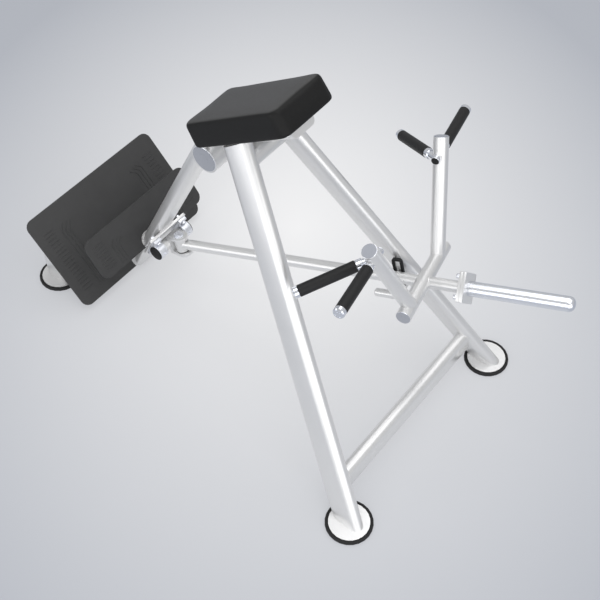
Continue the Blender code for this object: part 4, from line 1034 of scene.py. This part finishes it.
class ROWMACHINE_OT_stage(Operator):
    """Pale floor, soft lights and the camera"""

    bl_idname = "row_machine.stage"
    bl_label = "Stage"

    def execute(self, context):
        studio = context.scene.row_machine_studio
        self.floor(context.scene.row_machine_colours)
        self.room_light(context, studio.sky)
        over_x, over_y, over_z = TOP_PANEL_OVER
        for name, side in (("near", -1), ("far", 1)):
            spot = STAGE_MIDDLE + Vector((over_x, over_y + side * TOP_PANEL_SHIFT, over_z))
            below = spot - Vector((0, 0, 1))
            self.panel("top_panel_" + name, spot, below, TOP_PANEL_SIZE, studio.top, across=(1, 0, 0))
        raised = Vector((0, 0, WALL_PANEL_HEIGHT))
        for number, degrees in enumerate(WALL_PANEL_TURNS):
            turn = math.radians(degrees)
            aside = Vector((WALL_PANEL_RADIUS * math.cos(turn), WALL_PANEL_RADIUS * math.sin(turn), 0))
            spot = STAGE_MIDDLE + aside + raised
            self.panel(f"wall_panel_{number}", spot, STAGE_MIDDLE + raised, WALL_PANEL_SIZE, studio.wall)
        self.camera(context)
        context.scene.view_settings.view_transform = "Standard"
        return {"FINISHED"}

    def floor(self, colours):
        deselect()
        bpy.ops.mesh.primitive_plane_add(size=FLOOR_SIZE, location=(0, 0, FLOOR_LEVEL))
        floor = bpy.context.object
        floor.name = "floor"
        bpy.ops.object.transform_apply(location=True, rotation=True, scale=True)
        paint(floor, floor_paper(colours.floor_painted_light_middle, colours.floor_painted_shade_edge))

    def room_light(self, context, strength):
        """Even light from all round, a little cooler than white."""
        world = bpy.data.worlds.new("studio")
        context.scene.world = world
        world.use_nodes = True
        background = world.node_tree.nodes["Background"]
        background.inputs["Color"].default_value = (0.985, 0.99, 1.0, 1)
        background.inputs["Strength"].default_value = strength

    def panel(self, name, spot, towards, size, power, across=(0, 0, 1)):
        """A soft lamp that faces a point and doesn't show to the camera."""
        data = bpy.data.lights.new(name, "AREA")
        data.shape = "RECTANGLE"
        data.size, data.size_y = size
        data.energy = power
        lamp = bpy.data.objects.new(name, data)
        lamp.matrix_world = pointing(spot, spot - towards, across)
        lamp.visible_camera = False
        bpy.context.scene.collection.objects.link(lamp)

    def camera(self, context):
        data = bpy.data.cameras.new("camera")
        data.sensor_width = 36.0
        data.lens = VIEW_LENS
        camera = bpy.data.objects.new("camera", data)
        camera.location = VIEW_PLACE
        camera.rotation_euler = (VIEW_TILT, 0, VIEW_TURN)
        context.scene.collection.objects.link(camera)
        context.scene.camera = camera


# In this order, because the first one makes finishes that later ones use
OPERATORS = (
    ROWMACHINE_OT_finishes,
    ROWMACHINE_OT_weight_horn,
    ROWMACHINE_OT_welds,
    ROWMACHINE_OT_chest_pad,
    ROWMACHINE_OT_foot_plates,
    ROWMACHINE_OT_end_caps,
    ROWMACHINE_OT_fittings,
    ROWMACHINE_OT_stage,
)


class ROWMACHINE_PT_pieces(Panel):
    """Builds the machine's pieces one group at a time"""

    bl_label = "Row Machine"
    bl_idname = "ROWMACHINE_PT_pieces"
    bl_space_type = "VIEW_3D"
    bl_region_type = "UI"
    bl_category = "Row Machine"

    def draw(self, context):
        for operator in OPERATORS:
            self.layout.operator(operator.bl_idname)
        for group in ("row_machine_sizes", "row_machine_colours", "row_machine_studio"):
            settings = getattr(context.scene, group)
            column = self.layout.column()
            for name in settings.__annotations__:
                column.prop(settings, name)


CLASSES = (RowMachineSizes, RowMachineColours, RowMachineStudio, *OPERATORS, ROWMACHINE_PT_pieces)


def register():
    for kind in CLASSES:
        bpy.utils.register_class(kind)
    bpy.types.Scene.row_machine_sizes = PointerProperty(type=RowMachineSizes)
    bpy.types.Scene.row_machine_colours = PointerProperty(type=RowMachineColours)
    bpy.types.Scene.row_machine_studio = PointerProperty(type=RowMachineStudio)


def unregister():
    del bpy.types.Scene.row_machine_studio
    del bpy.types.Scene.row_machine_colours
    del bpy.types.Scene.row_machine_sizes
    for kind in reversed(CLASSES):
        bpy.utils.unregister_class(kind)


def main():
    register()
    for operator in OPERATORS:
        getattr(bpy.ops.row_machine, operator.bl_idname.split(".")[1])()


if __name__ == "__main__":
    main()
